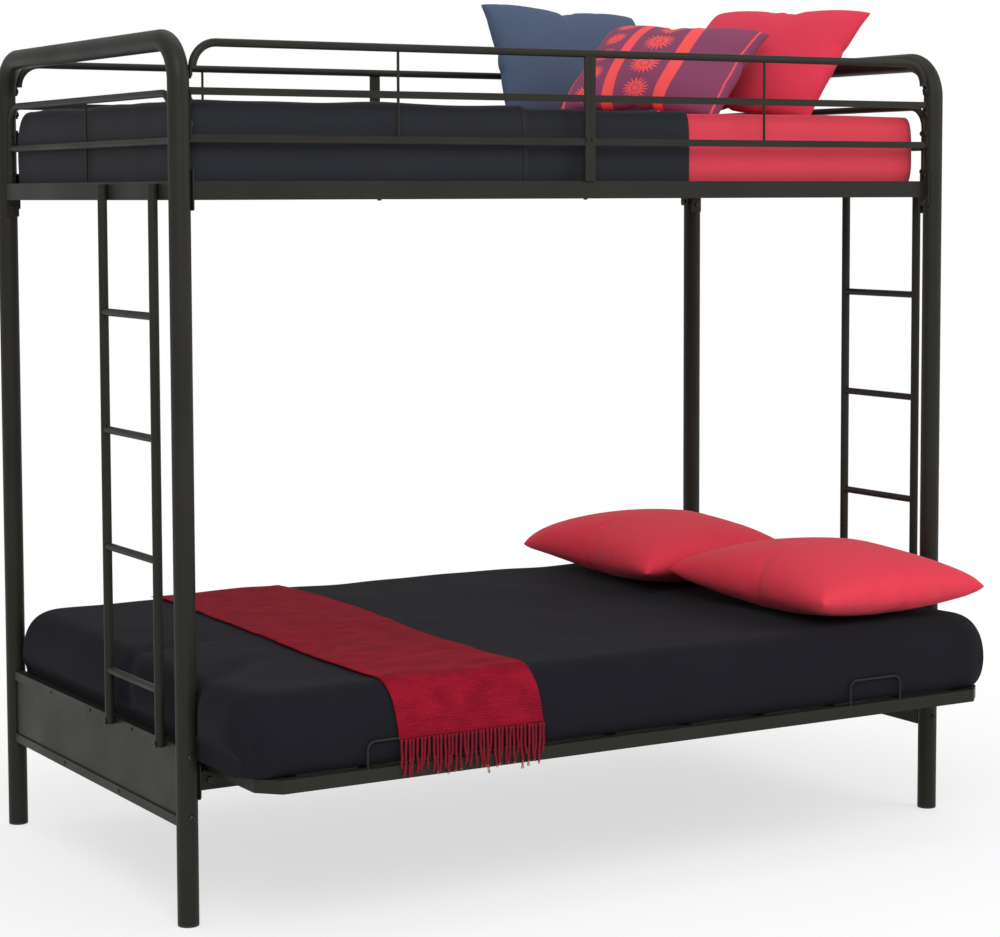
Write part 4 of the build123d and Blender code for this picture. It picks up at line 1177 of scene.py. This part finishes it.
@dataclass
class Throw:
    """A chenille throw over the futon: along the top, round its front and down to a fringed hem.

    The tables left and right give X of its sides at lengths along it, from the rear edge. It hangs by
    tail below the rim, and its inner face is gap off the mattress.
    """
    futon: Futon
    rear_y: float = 0.458
    tail: float = 0.016
    thick: float = 0.0048
    gap: float = 0.0022
    round_side: float = 0.02
    round_end: float = 0.012
    left: tuple[tuple[float, float], ...] = (
        (0.0, -0.640), (0.060, -0.628), (0.250, -0.620), (0.495, -0.627), (0.735, -0.639), (0.935, -0.645),
        (1.085, -0.642), (1.170, -0.636), (1.220, -0.630), (1.310, -0.620))
    right: tuple[tuple[float, float], ...] = (
        (0.0, -0.303), (0.120, -0.285), (0.330, -0.268), (0.610, -0.287), (0.830, -0.303), (1.030, -0.308),
        (1.150, -0.300), (1.210, -0.292), (1.310, -0.280))
    ripple: Relief = Relief(seed=21, height=0.0006, shortest=0.05, longest=0.16)

    def path(self) -> tuple[Array, Array, Array]:
        """The line over the mattress: the flat top, then the roll of the form's own profile.

        Returns:
            Length along it, points (y, z) and outward directions (y, z).
        """
        top_rows, roll_rows, tail_rows = 150, 45, 8
        form = self.futon.form
        front = form.middle[1] - form.half_y
        top_y = np.linspace(self.rear_y, front + form.top_inset, top_rows)
        angle = np.linspace(0, math.pi / 2, roll_rows + 1)[1:]
        inset, rise = form.roll(angle, form.top_inset, form.top - form.rim, form.top_power)
        tail_z = form.rim - np.linspace(0, self.tail, tail_rows + 1)[1:]
        points = np.vstack([np.stack([top_y, np.full(top_rows, form.top)], -1),
                            np.stack([front + inset, form.rim + rise], -1),
                            np.stack([np.full(tail_rows, front), tail_z], -1)])
        lean = np.concatenate([np.zeros(top_rows), angle, np.full(tail_rows, math.pi / 2)])
        steps = np.linalg.norm(np.diff(points, axis=0), axis=1)
        return (np.concatenate([[0.0], np.cumsum(steps)]), points,
                np.stack([-np.sin(lean), np.cos(lean)], -1))

    def lift(self, points: Array, directions: Array, height: Array | float) -> Array:
        """Points of the mattress under the throw, raised by a height and a fine ripple.

        Args:
            points: the mattress's plain points.
            directions: outward directions there.
            height: how far the points are raised.

        Returns:
            The raised points.
        """
        on = self.futon.surface(points, directions, np.ones(points.shape[:-1]))
        return on + directions * (height + self.ripple.at(points))[..., None]

    def build(self, datum: Datum) -> bpy.types.Object:
        """The cloth thins at its edges: over the share round_side of its width at the sides, and over the
        length round_end at both ends.

        Args:
            datum: the frame's place.

        Returns:
            The cloth.
        """
        length, line, lean = self.path()
        edge = np.array([0.0, 0.004, 0.010, 0.020])
        share = np.concatenate([edge, np.linspace(0.035, 0.965, 60), 1 - edge[::-1]])
        left = np.interp(length, *np.array(self.left).T)[:, None]
        right = np.interp(length, *np.array(self.right).T)[:, None]
        x = left + (right - left) * share[None, :]
        points = np.stack(np.broadcast_arrays(x, line[:, :1], line[:, 1:]), -1)
        directions = np.stack(np.broadcast_arrays(np.zeros_like(x), lean[:, :1], lean[:, 1:]), -1)
        near_side = np.minimum(share, 1 - share)[None, :] / self.round_side
        near_end = np.minimum(length, length[-1] - length)[:, None] / self.round_end
        full = round_edge(np.clip(np.minimum(near_side, near_end), 0, 1), least=0.04)
        outer = self.lift(points, directions, self.gap + self.thick * (0.5 + 0.5 * full))
        inner = self.lift(points, directions, self.gap + self.thick * (0.5 - 0.5 * full))
        uv = np.stack(np.broadcast_arrays(x - x.mean(), length[:, None]), -1)
        piece = shell(datum.place(outer), datum.place(inner), uv).build("throw")
        dress(piece, Chenille().build("throw_cloth"))
        fringe = Fringe(self.futon.form.rim - self.tail).build(datum, outer[-1])
        self.futon.bend(piece, datum)
        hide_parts("throw_front", "throw_middle", "throw_rear")
        report(piece, "draped throw")
        return piece


@dataclass
class Fringe:
    """Tassels of two twisted strands along the throw's hem, some of them longer than the rest.

    A tassel is up to stray off its place at the hem, and its tip up to sway further along X and up to
    lean along Y. Waver is how far it waves on its way down, in a sine of waving radians. It starts
    overlap above the hem's edge and no further back than front.
    """
    hem_z: float
    seed: int = 11
    tassels: int = 38
    stray: float = 0.0012
    tips: tuple[float, float] = (0.311, 0.334)
    long_share: float = 0.2
    longer: float = 0.012
    overlap: float = 0.003
    sway: float = 0.006
    lean: float = 0.001
    waver: float = 0.0014
    waving: float = 9.0
    front: float = -0.7672
    strand_r: float = 0.0016
    turns: float = 6.0
    rings: int = 34
    sides: int = 6
    beige_between: tuple[float, float] = (0.330, 0.310)

    def axes(self, hem: Array, t: Array) -> tuple[Array, Array]:
        """The middle line of each tassel, from the hem to its tip.

        Args:
            hem: the throw's outer points along the hem.
            t: shares of the way down.

        Returns:
            Points of shape (tassels, shares, 3), and each tassel's own phase.
        """
        random = np.random.default_rng(self.seed)
        count = self.tassels
        x = np.linspace(hem[2, 0], hem[-3, 0], count) + random.uniform(-self.stray, self.stray, count)
        top_y = np.interp(x, hem[:, 0], hem[:, 1]) - 0.0002
        tip = random.uniform(*self.tips, count)
        tip = np.where(random.random(count) < self.long_share, tip - self.longer, tip)
        top = self.hem_z + self.overlap
        sway = random.uniform(-self.sway, self.sway, count)
        phase = random.uniform(0, 2 * math.pi, count)
        lean = random.uniform(-self.lean, self.lean, count)
        wave = self.waver * np.sin(phase[:, None] + self.waving * t) * t
        return np.stack([x[:, None] + sway[:, None] * t ** 2 + wave,
                         np.minimum(top_y, self.front)[:, None] + lean[:, None] * t,
                         top + (tip - top)[:, None] * t], -1), phase

    def build(self, datum: Datum, hem: Array) -> bpy.types.Object:
        """Makes the fringe: each strand's middle is a helix about its tassel's line.

        A strand is thicker at the knot, exp(-((t - 0.05) / 0.03) squared), and thins as it frays over
        the last tenth, where the two strands part.

        Args:
            datum: the frame's place.
            hem: the throw's outer points along the hem.

        Returns:
            The fringe.
        """
        t = np.linspace(0, 1, self.rings)
        axis, phase = self.axes(hem, t)
        frayed = share_between(t, 0.9, 1.0)
        spin = phase[:, None, None] + np.array([[0.0], [math.pi]]) + 2 * math.pi * self.turns * t
        apart = self.strand_r * (0.95 + 0.8 * frayed)
        level = np.zeros_like(spin)
        centre = axis[:, None] + np.stack([apart * np.cos(spin), apart * np.sin(spin), level], -1)
        knot = np.exp(-((t - 0.05) / 0.03) ** 2)
        radius = self.strand_r * (1 + 0.5 * knot) * (1 - 0.35 * frayed)
        radius[[0, -1]] = TINY
        turn = np.linspace(0, 2 * math.pi, self.sides, endpoint=False)
        ring = np.stack([np.cos(turn), np.sin(turn), np.zeros(self.sides)], -1)
        points = (centre[..., None, :] + radius[:, None, None] * ring).reshape(-1, 3)
        starts = np.arange(self.tassels * 2) * self.rings * self.sides
        faces = (quads(self.rings, self.sides, closed=True) + starts[:, None, None]).reshape(-1, 4)
        piece = Patch(datum.place(points), faces, points[:, [0, 2]]).build("throw_fringe", weld=2e-6)
        self.colour_ends(piece.data)
        dress(piece, TwistedYarn().build("fringe_yarn"))
        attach(piece, "seat")
        report(piece, "twisted fringe")
        return piece

    def colour_ends(self, mesh: bpy.types.Mesh) -> None:
        """Writes the attribute "ends", which goes from 0 to 1 down the beige ends and is 0 elsewhere.

        The height range is beige_between, and beige strands are where sin(911 x) is over 0.55.

        Args:
            mesh: the fringe's mesh.
        """
        at = places(mesh)
        share = share_between(at[:, 2], *self.beige_between)
        picked = np.sin(at[:, 0] * 911.0) > 0.55
        ends = mesh.attributes.new("ends", "FLOAT", "POINT")
        ends.data.foreach_set("value", (share * picked).astype(np.float32))


# Pillows

@dataclass(frozen=True)
class PillowCut:
    """A pillow case of two sewn panels, and how full it is stuffed.

    The flat panels are larger than the stuffed pillow by the share swell of its thickness, because
    cloth that swells draws in, and they start a little apart. Wrinkled is the share that the blown-up
    cloth has in the form, and droop the share of the thickness by which the corners hang.
    """
    length: float
    height: float
    thick: float
    volume_share: float = 0.56
    swell: float = 0.30
    apart: float = 0.010
    fullness: float = 0.38
    bow: float = 0.045
    waist: float = 0.035
    wrinkled: float = 0.38
    droop: float = 0.16
    frames: int = 26
    columns: int = 58
    rows: int = 44

    def flat(self) -> Patch:
        """Two grids that share their border: sides bow out by (1 - v^2) and z = h (1 - u^4)(1 - v^4).

        Returns:
            The panels, with the stuffed pillow's own u and v as their UV in metres.
        """
        grow = 1.0 + self.swell * self.thick / self.length
        u, v = np.meshgrid(np.linspace(-1, 1, self.columns), np.linspace(-1, 1, self.rows), indexing="ij")
        bow = self.bow * self.length
        x = u * (self.length / 2 * grow + bow * (1 - v ** 2))
        y = v * (self.height / 2 * grow + bow * (1 - u ** 2))
        z = self.apart * (1 - u ** 4) * (1 - v ** 4)
        index = np.arange(u.size).reshape(u.shape)
        border = np.zeros(u.shape, bool)
        border[0] = border[-1] = border[:, 0] = border[:, -1] = True
        inner = np.flatnonzero(~border)
        under = np.where(border.ravel(), index.ravel(), 0)
        under[inner] = u.size + np.arange(len(inner))
        upper = np.stack([x, y, z], -1).reshape(-1, 3)
        lower = upper[inner] * np.array([1, 1, -1])
        points = np.vstack([upper, lower])
        faces = quads(*u.shape)
        plain = np.stack([u * self.length / 2, v * self.height / 2], -1).reshape(-1, 2)
        return Patch(points, np.vstack([faces, under[faces][:, ::-1]]), np.vstack([plain, plain[inner]]))

    def stuffed(self) -> Patch:
        """The stuffed form with a share of the shape that the cloth takes when it is blown up.

        The form's height is thick / 2 times (1 - u^2) (1 - v^2) to the power fullness, with sides that
        draw in by the waist times (1 - v^2).

        Returns:
            The patch at its real size about the origin, seam level with z = 0.
        """
        patch = self.flat()
        u = patch.uv[:, 0] * 2 / self.length
        v = patch.uv[:, 1] * 2 / self.height
        full = np.clip((1 - u ** 2) * (1 - v ** 2), 0, 1) ** self.fullness
        points = np.stack([u * (1 - self.waist * (1 - v ** 2)), v * (1 - self.waist * (1 - u ** 2)),
                           np.sign(patch.points[:, 2]) * full], -1)
        points += self.wrinkled * (self.fitted(self.blown(patch)) - points)
        size = np.array([self.length / 2, self.height / 2, self.thick / 2])
        points = self.fitted(points) * size
        corner = (np.abs(points[:, 0] / size[0]) * np.abs(points[:, 1] / size[1])) ** 4
        points[:, 2] -= self.droop * self.thick * np.clip(corner, 0, 1)
        return Patch(points, patch.faces, patch.uv)

    @staticmethod
    def fitted(points: Array) -> Array:
        """Points scaled to reach over a length of 2 along each axis, with the seam left at z = 0.

        Args:
            points: the pillow's points.

        Returns:
            The scaled points, with the middle of x and y at 0.
        """
        middle = (points.max(0) + points.min(0)) / 2
        middle[2] = 0.0
        return (points - middle) / ((points.max(0) - points.min(0)) / 2)

    def blown(self, patch: Patch) -> Array:
        """Runs the cloth under pressure until it holds its filling.

        Args:
            patch: the flat panels.

        Returns:
            The points of the swollen pillow.
        """
        piece = patch.build("pillow_trial", weld=0.0)
        cloth = piece.modifiers.new("cloth", "CLOTH")
        settings = cloth.settings
        settings.use_pressure = True
        settings.use_pressure_volume = True
        settings.target_volume = self.volume_share * self.length * self.height * self.thick
        settings.uniform_pressure_force = 9.0
        settings.effector_weights.gravity = 0.0
        settings.tension_stiffness = 22.0
        settings.compression_stiffness = 12.0
        settings.shear_stiffness = 5.0
        settings.bending_stiffness = 0.35
        settings.mass = 0.25
        settings.quality = 5
        cloth.collision_settings.use_collision = False
        cloth.point_cache.frame_start = 1
        cloth.point_cache.frame_end = self.frames
        for frame in range(1, self.frames + 1):
            bpy.context.scene.frame_set(frame)
        graph = bpy.context.evaluated_depsgraph_get()
        points = places(piece.evaluated_get(graph).data).astype(float)
        bpy.data.objects.remove(piece)
        bpy.context.scene.frame_set(1)
        log.info("pillow cloth %.2f x %.2f m swelled to %s", self.length, self.height,
                 np.round(points.max(0) - points.min(0), 3))
        return points


def turned(points: Array, axis: int, degrees: float) -> Array:
    """Points turned about one axis through the origin.

    Args:
        points: the points.
        axis: 0, 1 or 2 for X, Y or Z.
        degrees: the angle, by the right-hand rule.

    Returns:
        The turned points.
    """
    angle = math.radians(degrees)
    first, second = [(1, 2), (2, 0), (0, 1)][axis]
    result = points.copy()
    result[:, first] = points[:, first] * math.cos(angle) - points[:, second] * math.sin(angle)
    result[:, second] = points[:, first] * math.sin(angle) + points[:, second] * math.cos(angle)
    return result


@dataclass(frozen=True)
class PillowPose:
    """Where a pillow is and how it leans: face turned in plan, tilted up from flat, rolled in its face.

    It sinks into its rest by sink. What would be in the rest is flattened over the depth soft and lies
    off it by gap.
    """
    x: float
    y: float
    rest: float
    turn: float
    tilt: float = 0.0
    roll: float = 0.0
    sink: float = 0.013
    soft: float = 0.004
    gap: float = 0.0006

    def place(self, points: Array, height: float) -> Array:
        """Leans the pillow on its lower edge, or lays it flat, and flattens what meets the rest.

        A height h over the rest becomes soft times ln(1 + e to the h / soft), plus the gap.

        Args:
            points: the pillow about the origin.
            height: its height, half of which goes below its middle when it leans.

        Returns:
            The points, measured from the middle of the posts.
        """
        if self.tilt:
            points = points + np.array([0.0, height / 2, 0.0])
            points = turned(turned(points, 2, self.roll), 0, self.tilt)
        points = turned(points, 2, self.turn)
        points = points + np.array([self.x, self.y, self.rest - self.sink - points[:, 2].min()])
        over = points[:, 2] - self.rest
        points[:, 2] = self.rest + self.gap + self.soft * np.logaddexp(0.0, over / self.soft)
        return points


@dataclass
class Pillow:
    """One stuffed pillow: its cut, pose and cloth, and the mattress under it if that isn't level."""
    name: str
    node: str
    body: str
    slot: str
    cut: PillowCut
    pose: PillowPose
    finish: WovenCloth
    fill: float = 0.6
    under: Futon | None = None

    def build(self, datum: Datum) -> bpy.types.Object:
        """Makes, places and dresses the pillow, raised as the mattress under it rises.

        Args:
            datum: the frame's place.

        Returns:
            The pillow.
        """
        patch = self.cut.stuffed()
        points = self.pose.place(patch.points, self.cut.height)
        if self.under:
            points[:, 2] += self.under.rise(points[:, 1])
        piece = Patch(datum.place(points), patch.faces, patch.uv).build(self.name, weld=0.0)
        smoothed(piece, 1)
        dress(piece, self.finish.build(self.name + "_cloth"))
        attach(piece, self.body)
        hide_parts(self.node)
        report(piece, "stuffed pillow")
        return piece


# Bunk bedding

@dataclass
class BunkBedding:
    """The bunk's mattress and the two navy covers on it."""
    form: PadForm = PadForm(half_x=0.949, half_y=0.464, corner_r=0.034, low=1.4893, rim=1.561, top=1.661,
                            top_inset=0.020, top_power=3.4, low_inset=0.026, low_power=2.6, flat=0.90)
    grid: tuple[int, int, int] = (96, 54, 12)
    relief: Relief = Relief(seed=3, height=0.0009, shortest=0.2, longest=0.7)
    wrinkles: Relief = Relief(seed=31, height=0.0011, shortest=0.12, longest=0.5)
    cap_x: float = -0.45
    inner_end: float = 0.286
    outer_end: float = -0.142
    hem_z: float = 1.4945
    sheet_cloth: WovenCloth = WovenCloth(shade(205, 63, 78), thread=0.0009, relief=0.00012, spread=0.04)
    cover_cloth: WovenCloth = WovenCloth(shade(36, 37, 42), thread=0.0012, relief=0.00012,
                                         slub=(320.0, 16.0), spread=0.035, lift=1.4)

    def uneven(self, points: Array, directions: Array, firm: Array) -> Array:
        """Points of the mattress moved out by its relief."""
        return points + directions * (self.relief.at(points) * firm)[..., None]

    def mattress(self, datum: Datum) -> bpy.types.Object:
        """Makes the mattress.

        Args:
            datum: the frame's place.

        Returns:
            The mattress.
        """
        pad = self.form.pad(self.grid, fade=1.0, moved=self.uneven, datum=datum)
        piece = pad.build("bunk_pad")
        dress(piece, self.sheet_cloth.build("bunk_sheet_cloth"))
        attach(piece, "bunk_frame")
        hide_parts("bunk_mattress")
        report(piece, "bunk mattress")
        return piece

    def cover(self, datum: Datum, name: str, node: str, end_x: float, gap: float,
              thick: float) -> bpy.types.Object:
        """A cover over the left part of the mattress, closed over its left end and cut off at end_x.

        Its left cap is half of the pad's form about its own middle, and from there to the end the
        section is carried straight along X. Below the rim the cloth hangs straight down to the hem. At
        end_x the thickness goes down over round_end.

        Args:
            datum: the frame's place.
            name: the piece's name.
            node: the CAD node that it stands for.
            end_x: where the cover ends.
            gap: how far its inner face is off the mattress, besides the room for wrinkles.
            thick: the cloth's thickness.

        Returns:
            The cover.
        """
        form = replace(self.form, half_x=self.form.half_x + self.cap_x, middle=(self.cap_x, 0.0))
        roll_steps, drop_steps, round_end, room = 12, 8, 0.012, 0.0015
        rolled = np.concatenate([np.linspace(form.flat, 1.0, roll_steps + 1),
                                 1.0 + np.arange(1, drop_steps + 1) / drop_steps])
        side = np.concatenate([-rolled[::-1], np.linspace(-form.flat, form.flat, 52)[1:-1], rolled])
        left = np.concatenate([-rolled[::-1], np.linspace(-form.flat, 0, 30)[1:]])
        run = end_x - self.cap_x
        near_end = np.array([0.012, 0.006, 0.003, 0.001, 0.0]) / run
        straight = np.concatenate([np.linspace(0, 0.98, 60)[1:-1], 1 - near_end])
        a, b = np.meshgrid(np.concatenate([left, straight]), side, indexing="ij")
        points, directions, uv = form.half(np.clip(a, -1, 0), np.clip(b, -1, 1), True)
        along = np.maximum(a, 0) * run
        fall = np.maximum(np.maximum(-a, np.abs(b)) - 1, 0) * (form.rim - self.hem_z)
        points[..., 0] += along
        points[..., 2] -= fall
        uv[..., 0] += along
        uv = uv + directions[..., :2] * fall[..., None]
        full = round_edge(share_between(points[..., 0], end_x, end_x - round_end), least=0.05)
        middle = gap + thick / 2 + room + self.wrinkles.at(points) + self.relief.at(points)
        outer, inner = (points + directions * (middle + half * full)[..., None]
                        for half in (thick / 2, -thick / 2))
        piece = shell(datum.place(outer), datum.place(inner), uv).build(name)
        dress(piece, self.cover_cloth.build(name + "_cloth"))
        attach(piece, "bunk_frame")
        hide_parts(node)
        report(piece, "cover")
        return piece

    def build(self, datum: Datum) -> None:
        """Makes the mattress and both covers.

        Args:
            datum: the frame's place.
        """
        self.mattress(datum)
        self.cover(datum, "cover_inner", "inner_coverlet", self.inner_end, gap=0.0004, thick=0.0030)
        self.cover(datum, "cover_outer", "outer_coverlet", self.outer_end, gap=0.0048, thick=0.0060)


def cotton(colour: Colour) -> WovenCloth:
    """The plain cotton of a pillow case."""
    return WovenCloth(colour, thread=0.0010, relief=0.00016, spread=0.05)


def pillows(futon: Futon) -> Iterable[Pillow]:
    """The five pillows, from the seat to the bunk.

    Args:
        futon: the mattress under the first two.

    Yields:
        Each pillow, still to be built.
    """
    red = cotton(shade(211, 57, 74))
    bunk_rest, futon_rest = 1.6613, 0.5053
    yield Pillow("pillow_on_seat", "seat_pillow", "seat", "pillow_red",
                 PillowCut(length=0.610, height=0.480, thick=0.166, droop=0.04),
                 PillowPose(x=0.692, y=-0.446, rest=futon_rest, turn=90.0, sink=0.010), red, under=futon)
    yield Pillow("pillow_on_back", "back_pillow", "back", "pillow_red",
                 PillowCut(length=0.590, height=0.470, thick=0.168, droop=0.12),
                 PillowPose(x=0.640, y=0.172, rest=futon_rest, turn=90.0, sink=0.010), red, under=futon)
    yield Pillow("pillow_blue_soft", "blue_pillow", "bunk_frame", "pillow_blue",
                 PillowCut(length=0.460, height=0.335, thick=0.112),
                 PillowPose(x=0.480, y=0.262, rest=bunk_rest, turn=0.0, tilt=62.0, roll=-3.0),
                 cotton(shade(68, 80, 103)))
    yield Pillow("pillow_patterned_soft", "patterned_pillow", "bunk_frame", "pillow_print",
                 PillowCut(length=0.420, height=0.360, thick=0.098),
                 PillowPose(x=0.356, y=-0.146, rest=bunk_rest, turn=-54.0, tilt=37.0, roll=-6.0),
                 PrintedCloth())
    # This pillow's red is a darker copy of the seat pillows' red: painted shade that offsets the stronger
    # light on the bunk.
    yield Pillow("pillow_red_soft", "red_pillow", "bunk_frame", "pillow_red",
                 PillowCut(length=0.470, height=0.365, thick=0.102),
                 PillowPose(x=0.648, y=-0.113, rest=bunk_rest, turn=-71.0, tilt=48.0, roll=-3.0),
                 cotton(shade(198, 50, 72)))


# Studio

@dataclass(frozen=True)
class Lamp:
    """A square soft lamp: where it hangs, its side in metres and its power in watts."""
    name: str
    place: tuple[float, float, float]
    size: float
    power: float

    def build(self, aim: Vector) -> None:
        """Makes the lamp, turned to a point.

        Args:
            aim: the point.
        """
        data = bpy.data.lights.new(self.name, "AREA")
        data.shape = "SQUARE"
        data.size = self.size
        data.energy = self.power
        made = bpy.data.objects.new(self.name, data)
        made.location = self.place
        made.rotation_euler = (aim - Vector(self.place)).to_track_quat("-Z", "Y").to_euler()
        bpy.context.scene.collection.objects.link(made)


@dataclass
class Studio:
    """White surroundings, soft lamps, a pale floor and the camera of the photograph."""
    place: tuple[float, float, float] = (-3.011956, -5.198472, 1.478424)
    yaw: float = 30.634
    pitch: float = 4.333
    roll: float = -0.181
    lens: float = 91.738
    sensor: float = 36.0
    shift: float = -0.08
    world_light: float = 0.70
    floor_z: float = -0.0004
    floor_r: tuple[float, float] = (0.4, 30.0)
    aim: tuple[float, float, float] = (0.0, 0.0, 0.9)
    lamps: tuple[Lamp, ...] = (
        Lamp("key", (-2.2, -4.0, 4.0), size=2.8, power=130.0),
        Lamp("fill", (3.6, -3.4, 3.4), size=2.8, power=70.0),
        Lamp("top", (0.0, 0.6, 4.4), size=3.0, power=30.0))

    def camera(self, datum: Datum) -> None:
        """Sets the camera: forward from yaw and pitch, then right and up turned by the roll.

        Args:
            datum: the frame's place.
        """
        yaw, pitch, roll = (math.radians(value) for value in (self.yaw, self.pitch, self.roll))
        level = math.cos(pitch)
        forward = Vector((math.sin(yaw) * level, math.cos(yaw) * level, -math.sin(pitch)))
        right = Vector((math.cos(yaw), -math.sin(yaw), 0.0))
        up = right.cross(forward)
        across = right * math.cos(roll) + up * math.sin(roll)
        above = up * math.cos(roll) - right * math.sin(roll)
        turn = Matrix((across, above, -forward)).transposed().to_4x4()
        data = bpy.data.cameras.new("camera")
        data.lens = self.lens
        data.sensor_width = self.sensor
        data.sensor_fit = "HORIZONTAL"
        data.shift_y = self.shift
        data.clip_end = 60.0
        made = bpy.data.objects.new("camera", data)
        made.matrix_world = Matrix.Translation(Vector(datum.point(*self.place))) @ turn
        bpy.context.scene.collection.objects.link(made)
        bpy.context.scene.camera = made

    def world(self) -> None:
        """White as the camera sees it, and a softer white that lights the bed."""
        made = bpy.data.worlds.new("studio")
        made.use_nodes = True
        bpy.context.scene.world = made
        tree = made.node_tree
        tree.nodes.clear()
        output = tree.nodes.new("ShaderNodeOutputWorld")
        sky = tree.nodes.new("ShaderNodeBackground")
        path = tree.nodes.new("ShaderNodeLightPath")
        level = tree.nodes.new("ShaderNodeMapRange")
        level.inputs["To Min"].default_value = self.world_light
        level.inputs["To Max"].default_value = 1.0
        tree.links.new(path.outputs["Is Camera Ray"], level.inputs["Value"])
        tree.links.new(level.outputs["Result"], sky.inputs["Strength"])
        sky.inputs["Color"].default_value = (1, 1, 1, 1)
        tree.links.new(sky.outputs[0], output.inputs["Surface"])

    def floor(self) -> None:
        """A wide disc of rings about the frame's origin."""
        radius = np.concatenate([[1e-4], np.geomspace(*self.floor_r, 20)])
        turn = np.linspace(0, 2 * math.pi, 96, endpoint=False)
        x, y = radius[:, None] * np.cos(turn), radius[:, None] * np.sin(turn)
        points = np.stack([x, y, np.full_like(x, self.floor_z)], -1)
        made = grid_patch(points, points[..., :2], closed=True).build("studio_floor")
        dress(made, StudioFloor().build("studio_floor"))
        made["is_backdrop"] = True

    def build(self, datum: Datum) -> None:
        """Sets up everything but the bed.

        Args:
            datum: the frame's place.
        """
        self.camera(datum)
        self.world()
        self.floor()
        for lamp in self.lamps:
            lamp.build(Vector(self.aim))
        bpy.context.scene.view_settings.view_transform = "Standard"


def corners(box: Sequence[Sequence[float]]) -> list[list[float]]:
    """A box as plain lists."""
    return [[float(value) for value in corner] for corner in box]


def main() -> None:
    """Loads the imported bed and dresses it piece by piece."""
    logging.basicConfig(level=logging.INFO, format="%(message)s")
    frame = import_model()
    before = corners(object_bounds())
    front_low, front_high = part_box("front_left_post")
    rear_low, rear_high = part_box("rear_left_post")
    datum = Datum((front_low.y + front_high.y + rear_low.y + rear_high.y) / 4)
    log.info("middle of the posts at Y %.6f", datum.middle_y)
    log.info("dressed %d nodes of steel and nylon", Framework().dress(frame))
    Studio().build(datum)
    futon = Futon()
    futon.build(datum)
    Throw(futon).build(datum)
    BunkBedding().build(datum)
    made = {pillow.name: pillow.build(datum) for pillow in pillows(futon)}
    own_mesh(made["pillow_on_seat"])
    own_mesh(made["pillow_on_back"])
    {"cad": before, "visual": corners(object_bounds())}


if __name__ == "__main__":
    main()
